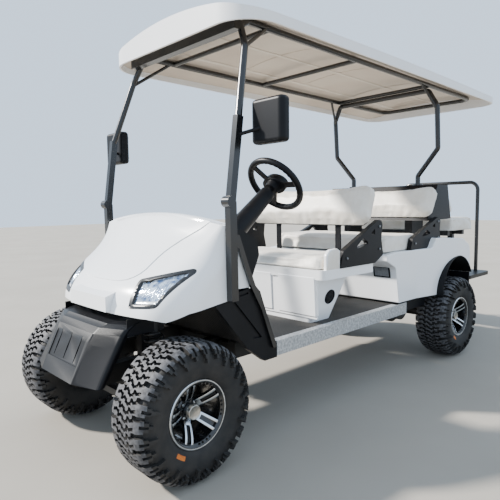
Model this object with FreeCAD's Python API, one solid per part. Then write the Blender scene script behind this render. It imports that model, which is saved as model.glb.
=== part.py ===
import FreeCAD, Part
import math
import os

V = FreeCAD.Vector

# Six seat electric golf cart on a lifted chassis, with a long roof.
# Millimetres. +X is the driver's side, the nose points to -Y, +Z is up.
# Everything is drawn from the front axle line (Y) and the ground (Z).
# On export it is moved along Y, so that the origin lies on the ground
# under the middle of the overall length.

# Wheels, axle lines and overhangs
WHEELBASE = 2367.0
NOSE_OVERHANG = 330.0
TAIL_OVERHANG = 1033.0
TYRE_R = 285.0
TYRE_HALF_W = 117.5
RIM_R = 127.0
RIM_FLANGE_R = 140.0
RIM_HALF_W = 98.0
RIM_WALL = 7.0
FRONT_HALF_TRACK = 473.0
REAR_HALF_TRACK = 513.0
HUB_R = 38.0
SPINDLE_R = 15.0
RUNNING_FIT = 0.05
SEAT_GAP = 0.3

# Steering geometry
KINGPIN_X = 405.0
KINGPIN_R = 10.0
ARM_END_X = 335.0
ARM_END_Y = 105.0
ARM_Z = 250.0
ARM_T = 14.0
ROD_R = 9.0
ROD_DROP = 0.3
RACK_Y = 165.0
RACK_Z = 300.0
RACK_R = 10.0

# Ladder frame
FRAME_Z = 360.0
FRAME_H = 80.0
RAIL_W = 50.0
RAIL_X = 300.0
NOSE_RAIL_X = 165.0
NOSE_RAIL_Y0 = -225.0
NOSE_RAIL_Y1 = 520.0
RAIL_Y0 = 420.0
RAIL_Y1 = WHEELBASE + 583.0
TOWER_Z = 622.0
TOWER_Y = 15.0
COIL_X = 275.0
COIL_Y = -5.0
COIL_R = 34.0

# Floor, toe board and sills
FLOOR_T = 18.0
FLOOR_Y0 = 440.0
FLOOR_Y1 = WHEELBASE - 677.0
ROCKER_T = 6.0
ROCKER_Y0 = 526.0
ROCKER_Y1 = WHEELBASE - 591.0
ROCKER_Z0 = 390.0
ROCKER_LIP = 36.0

# Front cowl
COWL_REAR_Y = 262.0
COWL_TOP_Z = 1074.0
COWL_SIDE_Z = 1019.0
COWL_WALL = 8.0
TOE_Z = 701.0

# Roof
ROOF_HALF_W = 575.0
ROOF_Y0 = 280.0
ROOF_Y1 = WHEELBASE + 733.0
ROOF_TOP_Z = 2030.0
ROOF_LIP_Z = ROOF_TOP_Z - 140.0
ROOF_CROWN = 85.0
ROOF_SAG = 15.0
ROOF_WALL = 10.0
LINER_T = 8.0
LINER_LINE_X = 300.0
LINER_LINE_DEEP = 2.5
ROOF_RAIL_X = 390.0
ROOF_RAIL_R = 16.0
ROOF_RAIL_Y0 = 470.0
ROOF_RAIL_Y1 = WHEELBASE + 626.0
ROOF_CORNER_R = 70.0

# Seats
SEAT_HALF_W = 470.0
BACK_HALF_W = 490.0
SEAT_BASE_Z = 757.0
POD_HALF_W = 500.0
CUSHION_T = 62.0
RESTRAINT_X = 491.0
RESTRAINT_T = 30.0

# Rear body
BODY_HALF_W = 500.0
FLOOR_HALF_W = BODY_HALF_W - 1
FENDER_HALF_W = 592.0
BODY_WALL = 8.0
BODY_EDGE_R = 6.0
DECK_Z = 800.0
HUMP_Z = 868.0
HUMP_Y0 = WHEELBASE - 257.0
HUMP_Y1 = WHEELBASE + 73.0
HUMP_DROP = 18.0

# Rear seat, footplate and grab bar
FOOT_Z = 500.0
FOOT_Y0 = WHEELBASE + 593.0
FOOT_HALF_W = 440.0
FOOT_T = 30.0
BAR_R = 16.0
BAR_X = 350.0
TAIL_Y = WHEELBASE + TAIL_OVERHANG
BAR_Y = TAIL_Y - 82.0
BAR_TOP_Z = 1287.0

SHIFT_Y = -(TAIL_Y - NOSE_OVERHANG) / 2
FRAME_TOP = FRAME_Z + FRAME_H
FLOOR_Z = FRAME_TOP + FLOOR_T
TOE_HALF_W = FLOOR_HALF_W - 20

# Height of the roof rails under the curved lining, at the start of their rear corners
ROOF_RX = (ROOF_HALF_W ** 2 + ROOF_CROWN ** 2) / (2 * ROOF_CROWN)
ROOF_MID_Y = (ROOF_Y0 + ROOF_Y1) / 2
ROOF_HALF_L = (ROOF_Y1 - ROOF_Y0) / 2
ROOF_RY = (ROOF_HALF_L ** 2 + ROOF_SAG ** 2) / (2 * ROOF_SAG)
SAG_AT_RAIL = (ROOF_RAIL_Y1 - ROOF_CORNER_R * 0.9 - ROOF_MID_Y) ** 2 / (2 * ROOF_RY)
CROWN_AT_RAIL = (ROOF_RAIL_X * (1 + ROOF_RAIL_R / ROOF_RX)) ** 2 / (2 * ROOF_RX)
LINER_LOW_Z = ROOF_TOP_Z - ROOF_WALL - LINER_T - 2 * SEAT_GAP - SAG_AT_RAIL - CROWN_AT_RAIL
ROOF_RAIL_Z = LINER_LOW_Z - ROOF_RAIL_R

BEAM_HALF_W = 105.0
STRUT_X = 524.0
REAR_CROSS_Y = WHEELBASE - 82.0
STRUT_W = 34.0

PARTS = {}


def bumper_back_y(z):
    """Inner face of the bumper's leaning front wall at a height."""
    lean = BUMPER_LEAN
    return -NOSE_OVERHANG + lean * (z - BUMPER_Z0) + BUMPER_WALL * math.sqrt(1 + lean ** 2)


def hump_z(y):
    """Top of the rear body's raised part."""
    return HUMP_Z - (y - HUMP_Y0) * HUMP_DROP / (HUMP_Y1 - HUMP_Y0)


def toe_y(z):
    """Rider's face of the sloping toe board at a height."""
    share = (z - FLOOR_Z) / (TOE_Z + 6 - FLOOR_Z)
    return FLOOR_Y0 + 8 + share * (COWL_REAR_Y + 12 - FLOOR_Y0 - 8)


def box(x0, x1, y0, y1, z0, z1):
    return Part.makeBox(x1 - x0, y1 - y0, z1 - z0, V(x0, y0, z0))


def rod(a, b, r):
    a = V(*a)
    b = V(*b)
    return Part.makeCylinder(r, (b - a).Length, a, b - a)


def mirrored(shape):
    return shape.mirror(V(0, 0, 0), V(1, 0, 0))


def fuse(shapes):
    whole = shapes[0]
    if len(shapes) > 1:
        whole = whole.multiFuse(shapes[1:])
    return whole.removeSplitter()


def both(shapes):
    """The pieces of the left side and their mirror images, as loose solids."""
    solids = []
    for s in shapes:
        solids += s.Solids + mirrored(s).Solids
    return Part.makeCompound(solids)


def lift(plane, u, v, w):
    if plane == "yz":
        return V(w, u, v)
    if plane == "xy":
        return V(u, v, w)
    return V(u, w, v)


def outline(points, plane, at):
    """Closed wire of lines and tangent arcs. A point is (u, v) or (u, v, radius)."""
    n = len(points)
    ends = []
    for i in range(n):
        p = points[i]
        r = p[2] if len(p) > 2 else 0
        here = V(p[0], p[1], 0)
        if r == 0:
            ends.append((here, here, here))
            continue
        back = V(points[i - 1][0], points[i - 1][1], 0) - here
        ahead = V(points[(i + 1) % n][0], points[(i + 1) % n][1], 0) - here
        half = back.getAngle(ahead) / 2
        back.normalize()
        ahead.normalize()
        run = r / math.tan(half)
        middle = (back + ahead).normalize()
        top = here + middle * (r / math.sin(half) - r)
        ends.append((here + back * run, top, here + ahead * run))
    edges = []
    for i in range(n):
        a, m, b = ends[i]
        c = ends[(i + 1) % n][0]
        if (b - a).Length > 0.001:
            edges.append(Part.Arc(*[lift(plane, q.x, q.y, at) for q in (a, m, b)]).toShape())
        if (c - b).Length > 0.001:
            line = Part.LineSegment(lift(plane, b.x, b.y, at), lift(plane, c.x, c.y, at))
            edges.append(line.toShape())
    return Part.Wire(Part.__sortEdges__(edges))


def prism(points, plane, w0, w1):
    face = Part.Face(outline(points, plane, w0))
    return face.extrude(lift(plane, 0, 0, w1 - w0))


def path(points, bend):
    """Open run of lines and tangent arcs through 3-D points."""
    pts = [V(*p) for p in points]
    edges = []
    start = pts[0]
    for i in range(1, len(pts) - 1):
        back = (pts[i - 1] - pts[i]).normalize()
        ahead = (pts[i + 1] - pts[i]).normalize()
        half = back.getAngle(ahead) / 2
        run = bend / math.tan(half)
        middle = (back + ahead).normalize()
        a = pts[i] + back * run
        b = pts[i] + ahead * run
        top = pts[i] + middle * (bend / math.sin(half) - bend)
        edges.append(Part.LineSegment(start, a).toShape())
        edges.append(Part.Arc(a, top, b).toShape())
        start = b
    edges.append(Part.LineSegment(start, pts[-1]).toShape())
    return Part.Wire(edges)


def tube(points, r, bend):
    """Bent round bar along the points."""
    if len(points) == 2:
        return rod(points[0], points[1], r)
    spine = path(points, bend)
    along = V(*points[1]) - V(*points[0])
    ring = Part.Wire(Part.makeCircle(r, V(*points[0]), along))
    return spine.makePipeShell([ring], True, False)


def flat_bar(points, w, d, bend):
    """Bent rectangular bar: w across (X), d in the other direction."""
    start = V(*points[0])
    along = (V(*points[1]) - start).normalize()
    side = (V(1, 0, 0) - along * along.x).normalize()
    deep = along.cross(side)
    corners = []
    for a, b in ((-1, -1), (1, -1), (1, 1), (-1, 1), (-1, -1)):
        corners.append(start + side * (a * w / 2) + deep * (b * d / 2))
    ring = Part.makePolygon(corners)
    if len(points) == 2:
        return Part.Face(ring).extrude(V(*points[1]) - start)
    return path(points, bend).makePipeShell([ring], True, False)


def ring_about_x(profile):
    """Solid of revolution about X from (x, radius) points."""
    pts = [V(x, 0, r) for x, r in profile]
    face = Part.Face(Part.makePolygon(pts + [pts[0]]))
    return face.revolve(V(0, 0, 0), V(1, 0, 0), 360)


def at(shape, x, y, z):
    s = shape.copy()
    s.translate(V(x, y, z))
    return s


# WHEELS. Drawn about X with the outside at +X, then placed at each corner.
# The tyre is a carcass of flat sided bands with two rows of square shoulder lugs.
LUG_COUNT = 20
LUG_DEEP = 13.0
LUG_LONG = 42.0
LUG_X = 34.0


def tyre():
    w = TYRE_HALF_W
    side = [
        # X, radius at the corners of the band
        (RIM_HALF_W - 8, RIM_FLANGE_R + 2), (w, TYRE_R - 80), (w - 8, TYRE_R - 40), (w - 34, TYRE_R - LUG_DEEP)]
    seat = RIM_R / math.cos(math.pi / LUG_COUNT)
    side = [(-RIM_HALF_W + 8, seat)] + [(-x, r) for x, r in side] + list(reversed(side)) + [(RIM_HALF_W - 8, seat)]
    faces = []
    for k in range(LUG_COUNT):
        for (xa, ra), (xb, rb) in zip(side, side[1:] + side[:1]):
            corners = []
            for x, r, j in ((xa, ra, k), (xb, rb, k), (xb, rb, k + 1), (xa, ra, k + 1)):
                turn = 2 * math.pi * (j % LUG_COUNT) / LUG_COUNT
                corners.append(V(x, r * math.sin(turn), r * math.cos(turn)))
            faces.append(Part.Face(Part.makePolygon(corners + corners[:1])))
    carcass = Part.Solid(Part.Shell(faces))
    low = TYRE_R - LUG_DEEP - 12
    lug = prism([(LUG_X, low), (LUG_X, TYRE_R), (w - 20, TYRE_R), (w - 2, TYRE_R - 36), (w - 30, low - 20)],
                "xz", -LUG_LONG / 2, LUG_LONG / 2)
    lugs = []
    for k in range(LUG_COUNT):
        for across, turn in ((lug, k), (mirrored(lug), k + 0.5)):
            block = across.copy()
            block.rotate(V(0, 0, 0), V(1, 0, 0), 180 + 360 * turn / LUG_COUNT)
            lugs.append(block)
    return fuse([carcass] + lugs)


def rim():
    w = RIM_HALF_W
    inner = RIM_R - RIM_WALL
    barrel = ring_about_x([
        (-w, inner), (-w, RIM_FLANGE_R), (-w + 8, RIM_FLANGE_R), (-w + 8, RIM_R),
        (w - 8, RIM_R), (w - 8, RIM_FLANGE_R), (w, RIM_FLANGE_R), (w, inner)])
    hub = rod((-25, 0, 0), (70, 0, 0), HUB_R)
    cap = rod((69, 0, 0), (92, 0, 0), 30)
    disc = rod((58, 0, 0), (84, 0, 0), inner + 1)
    for k in range(5):
        window = prism([(46, -11, 5), (112, -34, 12), (112, 34, 12), (46, 11, 5)], "yz", 40, 100)
        slit = prism([(62, -4), (112, -7), (112, 7), (62, 4)], "yz", 40, 100)
        window.rotate(V(0, 0, 0), V(1, 0, 0), 72 * k)
        slit.rotate(V(0, 0, 0), V(1, 0, 0), 72 * k + 36)
        disc = disc.cut(window).cut(slit)
    bore = rod((-30, 0, 0), (70, 0, 0), SPINDLE_R + RUNNING_FIT)
    wheel = fuse([barrel, disc, hub, cap]).cut(bore)
    wheel.rotate(V(0, 0, 0), V(1, 0, 0), -16)
    return wheel


def wheels():
    corners = (
        ("front_left", FRONT_HALF_TRACK, 0.0),
        ("rear_left", REAR_HALF_TRACK, WHEELBASE),
    )
    rubber = tyre()
    metal = rim()
    for name, x, y in corners:
        right = name.replace("left", "right")
        for kind, shape in (("tyre", rubber), ("rim", metal)):
            placed = at(shape, x, y, TYRE_R)
            PARTS[kind + "_" + name] = placed
            PARTS[kind + "_" + right] = mirrored(placed)


# FRONT AXLE
BOSS_R = 20.0
ARM_BOSS_H = 28.0
LOWER_BOSS_Z = 190.0
UPPER_BOSS_Z = 353.0
SLEEVE_X = NOSE_RAIL_X + RAIL_W / 2 + 16 + SEAT_GAP
ARM_Y0 = -80.0
ARM_Y1 = 50.0
LOWER_SLEEVE_Z = 255.0
UPPER_SLEEVE_Z = 400.0


def control_arm(sleeve_z, boss_z):
    sleeve = rod((SLEEVE_X, ARM_Y0, sleeve_z), (SLEEVE_X, ARM_Y1, sleeve_z), 16)
    mid = boss_z + ARM_BOSS_H / 2
    boss = rod((KINGPIN_X, 0, boss_z), (KINGPIN_X, 0, boss_z + ARM_BOSS_H), BOSS_R)
    legs = [rod((SLEEVE_X, y, sleeve_z), (KINGPIN_X, 0, mid), 9) for y in (ARM_Y0 + 12, ARM_Y1 - 12)]
    pin = rod((KINGPIN_X, 0, boss_z - 5), (KINGPIN_X, 0, boss_z + ARM_BOSS_H + 5), KINGPIN_R + RUNNING_FIT)
    return fuse([sleeve, boss] + legs).cut(pin)


def front_suspension():
    lower = control_arm(LOWER_SLEEVE_Z, LOWER_BOSS_Z)
    upper = control_arm(UPPER_SLEEVE_Z, UPPER_BOSS_Z)
    seat = box(COIL_X - 26, COIL_X + 26, COIL_Y - 37, COIL_Y + 35, 232, 262)
    lower = lower.fuse(seat).removeSplitter()
    coil_pts = [(0, 262), (22, 262)]
    count = 7
    z0 = 285.0
    step = (TOWER_Z - 40 - z0) / count
    for k in range(count):
        z = z0 + k * step
        coil_pts += [(22, z), (COIL_R, z + step * 0.25), (22, z + step * 0.5)]
    coil_pts += [(22, TOWER_Z), (0, TOWER_Z)]
    pts = [V(r, 0, z) for r, z in coil_pts]
    face = Part.Face(Part.makePolygon(pts + [pts[0]]))
    coil = at(face.revolve(V(0, 0, 0), V(0, 0, 1), 360), COIL_X, COIL_Y, 0)
    PARTS["front_suspension"] = both([lower, upper, coil])


def steering_gear():
    upright = rod((KINGPIN_X, 0, LOWER_BOSS_Z + ARM_BOSS_H + 1), (KINGPIN_X, 0, UPPER_BOSS_Z - 1), BOSS_R)
    pin = rod((KINGPIN_X, 0, LOWER_BOSS_Z - 3), (KINGPIN_X, 0, UPPER_BOSS_Z + ARM_BOSS_H + 3), KINGPIN_R)
    spindle = rod((KINGPIN_X, 0, TYRE_R), (FRONT_HALF_TRACK + 62, 0, TYRE_R), SPINDLE_R)
    web = flat_bar([(KINGPIN_X, 0, ARM_Z + ARM_T / 2), (ARM_END_X, ARM_END_Y, ARM_Z + ARM_T / 2)], 28, ARM_T, 0)
    eye = rod((ARM_END_X, ARM_END_Y, ARM_Z), (ARM_END_X, ARM_END_Y, ARM_Z + ARM_T), 17)
    knuckle = fuse([upright, pin, spindle, web, eye])
    PARTS["knuckle_left"] = knuckle
    PARTS["knuckle_right"] = mirrored(knuckle)

    z = ARM_Z - ROD_DROP - ROD_R
    bar = rod((-ARM_END_X, ARM_END_Y, z), (ARM_END_X, ARM_END_Y, z), ROD_R)
    eyes = [rod((x, ARM_END_Y, z - ROD_R), (x, ARM_END_Y, z + ROD_R), 15) for x in (-ARM_END_X, ARM_END_X)]
    PARTS["tie_rod"] = fuse([bar] + eyes)

    top = RACK_Z + RACK_R + 2
    rack = rod((-180, RACK_Y, RACK_Z), (228, RACK_Y, RACK_Z), RACK_R)
    lug = box(212, 232, 92, RACK_Y + RACK_R, z + ROD_R + ROD_DROP + 1, top)
    PARTS["rack_bar"] = fuse([rack, lug])
    housing = rod((-130, RACK_Y, RACK_Z), (130, RACK_Y, RACK_Z), 22)
    hangers = [box(x - 15, x + 15, RACK_Y - 14, RACK_Y + 14, RACK_Z + 15, FRAME_Z + 10) for x in (-90, 90)]
    bore = rod((-140, RACK_Y, RACK_Z), (140, RACK_Y, RACK_Z), RACK_R + RUNNING_FIT)
    PARTS["steering_rack_housing"] = fuse([housing] + hangers).cut(bore)


# LADDER FRAME
def chassis():
    half = RAIL_W / 2
    pieces = []
    for side in (-1, 1):
        x = side * NOSE_RAIL_X
        pieces.append(box(x - half, x + half, NOSE_RAIL_Y0, NOSE_RAIL_Y1, FRAME_Z, FRAME_TOP))
        pieces.append(box(x - 20, x + 20, TOWER_Y - 30, TOWER_Y + 30, FRAME_TOP, TOWER_Z + 40))
        x = side * RAIL_X
        pieces.append(box(x - half, x + half, RAIL_Y0, RAIL_Y1, FRAME_Z, FRAME_TOP))
    pieces.append(box(-COIL_X - 35, COIL_X + 35, TOWER_Y - 30, TOWER_Y + 20, TOWER_Z, TOWER_Z + 40))
    for y in (NOSE_RAIL_Y0, RACK_Y - 25):
        pieces.append(box(-NOSE_RAIL_X, NOSE_RAIL_X, y, y + 50, FRAME_Z + 10, FRAME_TOP - 10))
    for y in (RAIL_Y0, 1180, FLOOR_Y1 - 50, WHEELBASE - 217, WHEELBASE + 193, RAIL_Y1 - 50):
        pieces.append(box(-RAIL_X, RAIL_X, y, y + 50, FRAME_Z + 10, FRAME_TOP - 10))
    for y in (ROCKER_Y0 + 34, 1100, FLOOR_Y1 - 90):
        for side in (-1, 1):
            x0, x1 = sorted((side * RAIL_X, side * FLOOR_HALF_W))
            pieces.append(box(x0, x1, y, y + 40, FRAME_TOP - 50, FRAME_TOP))
    front = [(bumper_back_y(z) + SEAT_GAP, z) for z in (FRAME_TOP - 10, FRAME_Z + 28)]
    pieces.append(prism([(NOSE_RAIL_Y0 + 10, FRAME_Z + 28), (NOSE_RAIL_Y0 + 10, FRAME_TOP - 10)] + front,
                        "yz", -BEAM_HALF_W, BEAM_HALF_W))
    PARTS["chassis"] = fuse(pieces)

    low = LOWER_SLEEVE_Z - 20
    brackets = []
    for y in (ARM_Y0 + 20, ARM_Y1 - 20):
        brackets.append(box(-NOSE_RAIL_X, NOSE_RAIL_X, y - 14, y + 14, low, low + 30))
        for x in (-NOSE_RAIL_X, NOSE_RAIL_X):
            brackets.append(box(x - half, x + half, y - 14, y + 14, low, FRAME_Z))
    PARTS["front_subframe"] = fuse(brackets)


# REAR AXLE with its springs, and the motor
AXLE_R = 38.0
LEAF_Y0 = -400.0
LEAF_Y1 = 400.0


def rear_axle():
    end = REAR_HALF_TRACK - RIM_HALF_W - 6
    beam = rod((-end, WHEELBASE, TYRE_R), (end, WHEELBASE, TYRE_R), AXLE_R)
    shaft = rod((-REAR_HALF_TRACK - 62, WHEELBASE, TYRE_R), (REAR_HALF_TRACK + 62, WHEELBASE, TYRE_R), SPINDLE_R)
    case = rod((20, WHEELBASE, TYRE_R), (150, WHEELBASE, TYRE_R), 96)
    nose = rod((20, WHEELBASE - 132, TYRE_R), (150, WHEELBASE - 132, TYRE_R), 88)
    join = box(20, 150, WHEELBASE - 132, WHEELBASE, TYRE_R - 80, TYRE_R + 70)
    plates = [rod((s * (end - 8), WHEELBASE, TYRE_R), (s * end, WHEELBASE, TYRE_R), 92) for s in (-1, 1)]
    axle = fuse([beam, shaft, case, nose, join] + plates)
    top = TYRE_R + AXLE_R
    springs = []
    for s in (-1, 1):
        x0 = s * RAIL_X - 25
        x1 = s * RAIL_X + 25
        leaf = prism([
            (WHEELBASE + LEAF_Y0, top + 22), (WHEELBASE - 60, top), (WHEELBASE + 60, top),
            (WHEELBASE + LEAF_Y1, top + 22), (WHEELBASE + LEAF_Y1, top + 30),
            (WHEELBASE + 150, top + 26), (WHEELBASE - 150, top + 26), (WHEELBASE + LEAF_Y0, top + 30)],
            "yz", x0, x1)
        ends = []
        for y in (LEAF_Y0, LEAF_Y1 - 30):
            ends.append(box(x0 + 5, x1 - 5, WHEELBASE + y, WHEELBASE + y + 30, top + 24, FRAME_Z))
        springs.append(fuse([leaf] + ends))
    PARTS["rear_axle"] = fuse([axle] + springs)
    motor = rod((-240, WHEELBASE - 132, TYRE_R), (20, WHEELBASE - 132, TYRE_R), 84)
    PARTS["drive_motor"] = motor


# FLOOR, KICK PANELS AND ROCKERS
def floor():
    low = FRAME_TOP
    panel = prism([
        (COWL_REAR_Y, TOE_Z), (COWL_REAR_Y + 12, TOE_Z + 6), (FLOOR_Y0 + 8, FLOOR_Z), (FLOOR_Y1, FLOOR_Z),
        (FLOOR_Y1, low), (FLOOR_Y0 - 6, low), (COWL_REAR_Y - 6, TOE_Z - 12)],
        "yz", -TOE_HALF_W, TOE_HALF_W)
    deck = box(-FLOOR_HALF_W, FLOOR_HALF_W, ROCKER_Y0, FLOOR_Y1, low, FLOOR_Z)
    PARTS["floor"] = fuse([panel, deck])

    x0 = TOE_HALF_W + SEAT_GAP
    x1 = STRUT_X - STRUT_W / 2 - SEAT_GAP
    top = TOE_Z - SEAT_GAP
    cheek = prism([
        (150, top - 12), (240, top), (COWL_REAR_Y + 1, top), (COWL_REAR_Y + 1, 728), (352, 738), (374, 732, 6), (431, 641),
        (495, 480), (ROCKER_Y0 - 1, 450), (ROCKER_Y0 - 1, 385), (440, 385, 10), (335, 462, 10), (150, 684, 6)],
        "yz", x0, x1)
    groove = prism([(240, 688, 4), (262, 688, 4), (427, 500, 4), (372, 505, 8), (228, 672, 4)], "yz", x1 - 9, x1 + 5)
    slit = prism([(285, 708, 4), (340, 714, 4), (340, 723, 4), (285, 717, 4)], "yz", x1 - 7, x1 + 5)
    PARTS["kick_panels"] = both([cheek.cut(groove).cut(slit)])

    x0 = FLOOR_HALF_W + SEAT_GAP
    face = box(x0, x0 + ROCKER_T, ROCKER_Y0, ROCKER_Y1, ROCKER_Z0, FLOOR_Z + 4)
    lip = box(x0 - ROCKER_LIP, x0 + ROCKER_T, ROCKER_Y0, FLOOR_Y1 - 30, FLOOR_Z + SEAT_GAP, FLOOR_Z + 4)
    PARTS["rockers"] = both([fuse([face, lip])])


# FRONT COWL with lamps
COWL_SECTIONS = (
    # height, half width, front at the middle, front arc radius, corner radius
    (600.0, 492.0, -158.0, 1500.0, 215.0),
    (700.0, 505.0, -152.0, 1500.0, 200.0),
    (757.0, 505.0, -122.0, 1500.0, 195.0),
    (850.0, 503.0, -20.0, 1500.0, 180.0),
    (950.0, 502.0, 95.0, 1600.0, 100.0),
    (1080.0, 500.0, 205.0, 8000.0, 25.0),
)


def cowl_section(row, inset, rear):
    z, w, yf, big, small = row
    w = w - inset
    yf = yf + inset * 1.4
    small = max(small - inset, 12.0)
    yk = yf + big - math.sqrt((big - small) ** 2 - (w - small) ** 2)
    length = big - small
    tx = big * (w - small) / length
    ty = yf + big + big * (yk - yf - big) / length
    slant = math.radians(45)
    mx = (w - small) + small * math.sin(slant)
    my = yk - small * math.cos(slant)
    front = Part.Arc(V(-tx, ty, z), V(0, yf, z), V(tx, ty, z)).toShape()
    near = Part.Arc(V(tx, ty, z), V(mx, my, z), V(w, yk, z)).toShape()
    far = Part.Arc(V(-w, yk, z), V(-mx, my, z), V(-tx, ty, z)).toShape()
    a = Part.LineSegment(V(w, yk, z), V(w, rear, z)).toShape()
    b = Part.LineSegment(V(w, rear, z), V(-w, rear, z)).toShape()
    c = Part.LineSegment(V(-w, rear, z), V(-w, yk, z)).toShape()
    return Part.Wire([front, near, a, b, c, far])


def cowl_form(inset, rear):
    wires = [cowl_section(row, inset, rear) for row in COWL_SECTIONS]
    body = Part.makeLoft(wires, True, False)
    top = COWL_TOP_Z - inset
    side = COWL_SIDE_Z - inset
    arc = Part.Arc(V(-520, -300, side - 4), V(0, -300, top), V(520, -300, side - 4)).toShape()
    rest = Part.makePolygon([V(520, -300, side - 4), V(520, -300, 500), V(-520, -300, 500), V(-520, -300, side - 4)])
    crown = Part.Face(Part.Wire([arc] + rest.Edges)).extrude(V(0, 700, 0))
    return body.common(crown)


LAMP_BEZEL = 17.0
LAMP_SINK = 9.0
NOSE_PLATE_Y = -172.0
QUARTER_X = 500.0
LAMP = ((262, 802, 12), (279, 688, 14), (416, 700, 30), (482, 856, 16))


def cowl():
    outer = cowl_form(0, COWL_REAR_Y)
    inner = cowl_form(COWL_WALL, COWL_REAR_Y + 40)
    under = prism([
        (-250, 560), (320, 560), (320, TOE_Z), (236, TOE_Z), (20, 674), (-60, 644), (-110, 656), (-250, 660)],
        "yz", -600, 600)
    shell = outer.cut(inner).cut(under)
    lamp_hole = prism(LAMP, "xz", -250, 200)
    core = cowl_form(COWL_WALL + 36, COWL_REAR_Y + 40)
    glass = Part.Face(outline(LAMP, "xz", -250).makeOffset2D(-LAMP_BEZEL)).extrude(V(0, 450, 0))
    sunk = outer.common(glass).cut(cowl_form(LAMP_SINK, COWL_REAR_Y + 40))
    lamp = outer.common(lamp_hole).cut(core).cut(sunk)
    hole = Part.Face(outline(LAMP, "xz", -250).makeOffset2D(SEAT_GAP)).extrude(V(0, 450, 0))
    shell = shell.cut(hole).cut(mirrored(hole))
    quarter = prism([(240, 742), (240, 930), (282, 930), (362, 742)], "yz", QUARTER_X - 6, QUARTER_X)
    PARTS["cowl"] = fuse([shell, quarter, mirrored(quarter)])
    PARTS["headlamps"] = both([lamp])
    nose = prism([(NOSE_PLATE_Y, 664), (NOSE_PLATE_Y, 728), (-100, 752), (-60, 752), (-60, 664)], "yz", -168, 168)
    nose_cut = cowl_form(-0.5, COWL_REAR_Y)
    PARTS["nose_panel"] = nose.cut(nose_cut)


# FRONT BUMPER: a moulded scoop, open behind and below
BUMPER_Z0 = 388.0
BUMPER_CREST_Z = 595.0
BUMPER_CREST_Y = -232.0
BUMPER_TOP_Z = 628.0
BUMPER_HALF_W = 304.0
BUMPER_WALL = 14.0
BUMPER_LEAN = (BUMPER_CREST_Y + NOSE_OVERHANG) / (BUMPER_CREST_Z - BUMPER_Z0)


BUMPER_SECTIONS = (
    # height, front Y, half width of the front, Y of the wing's outer edge, wing's back Y
    (BUMPER_Z0, -NOSE_OVERHANG, 150.0, -280.0, -252.0),
    (545.0, -256.0, 163.0, -193.0, -158.0),
    (583.0, -233.0, 168.0, -170.0, -136.0),
    (606.0, -208.0, 175.0, -150.0, -118.0),
    (620.0, -178.0, 184.0, -122.0, -95.0),
    (BUMPER_TOP_Z, -148.0, 190.0, -90.0, -60.0),
)
SLOT_PITCH = 96.0
STEP_Z = 450.0
STEP_DEEP = 3.5


def bumper():
    w = BUMPER_HALF_W
    wires = []
    for z, y, front, wing, back in BUMPER_SECTIONS:
        wires.append(outline([
            (-front, y, 30), (front, y, 30), (w, wing, 20), (w - 16, back), (-w + 16, back), (-w, wing, 20)], "xy", z))
    body = Part.makeLoft(wires, True, True)
    z0 = BUMPER_Z0 - 18
    z1 = BUMPER_CREST_Z - 10
    y0 = bumper_back_y(z0)
    y1 = bumper_back_y(z1)
    v = w - 20
    inner_low = outline([
        (-140, y0, 30), (140, y0, 30), (v, -268, 20), (v, -200), (-v, -200), (-v, -268, 20)], "xy", z0)
    inner_top = outline([
        (-155, y1, 30), (155, y1, 30), (v, -155, 20), (v, -60), (-v, -60), (-v, -155, 20)], "xy", z1)
    body = body.cut(Part.makeLoft([inner_low, inner_top], True, True))
    face = bumper_back_y(0) - BUMPER_WALL * math.sqrt(1 + BUMPER_LEAN ** 2)
    field = prism([
        (face + BUMPER_LEAN * STEP_Z - 30, STEP_Z), (face + BUMPER_LEAN * STEP_Z + STEP_DEEP, STEP_Z),
        (face + BUMPER_LEAN * 545 + STEP_DEEP, 545), (face + BUMPER_LEAN * 585 - 0.5, 585),
        (face + BUMPER_LEAN * 585 - 60, 585)], "yz", -142, 142)
    body = body.cut(field)
    for k in (-1, 0, 1):
        x = k * SLOT_PITCH
        slot = prism([(x - 2, STEP_Z + 8), (x + 3, STEP_Z + 8), (x + 6, 505), (x + 2, 562), (x - 1, 562), (x - 5, 505)],
                     "xz", -340, -215)
        body = body.cut(slot)
    PARTS["bumper"] = body


# DASHBOARD, COLUMN, WHEEL AND PEDALS
WHEEL_X = 250.0
WHEEL_Y = 797.0
WHEEL_Z = 1217.0
WHEEL_R = 155.0
WHEEL_TUBE_R = 14.0
COLUMN_DOWN = 38.7


def dash():
    x = TOE_HALF_W
    body = prism([
        (COWL_REAR_Y + SEAT_GAP, 712), (COWL_REAR_Y + SEAT_GAP, 1004, 6), (330, 1000, 20), (428, 948, 25),
        (440, 880, 20), (372, 734, 10)], "yz", -x, x)
    PARTS["dash"] = body


def steering():
    down = math.radians(COLUMN_DOWN)
    axis = V(0, -math.cos(down), -math.sin(down))
    hub = V(WHEEL_X, WHEEL_Y, WHEEL_Z)
    start = hub + axis * 40
    shroud = Part.makeCone(40, 58, 440, hub + axis * 75, axis)
    bore = Part.makeCylinder(SPINDLE_R + RUNNING_FIT, 600, hub, axis)
    mask = PARTS["dash"]
    PARTS["steering_column"] = shroud.cut(bore).cut(mask)
    shaft = Part.makeCylinder(SPINDLE_R, 250, start, axis)
    boss = Part.makeCone(48, 36, 58, hub - axis * 12, axis)
    ring = Part.makeTorus(WHEEL_R, WHEEL_TUBE_R, hub, axis)
    spokes = []
    for turn in (90, 210, 330):
        spoke = Part.makeBox(30, 10, WHEEL_R, V(-15, -5, 0))
        spoke.rotate(V(0, 0, 0), V(0, 1, 0), turn)
        spoke.rotate(V(0, 0, 0), V(1, 0, 0), COLUMN_DOWN)
        spoke.translate(hub + axis * 8)
        spokes.append(spoke)
    PARTS["steering_wheel"] = fuse([ring, boss, shaft] + spokes)


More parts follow.
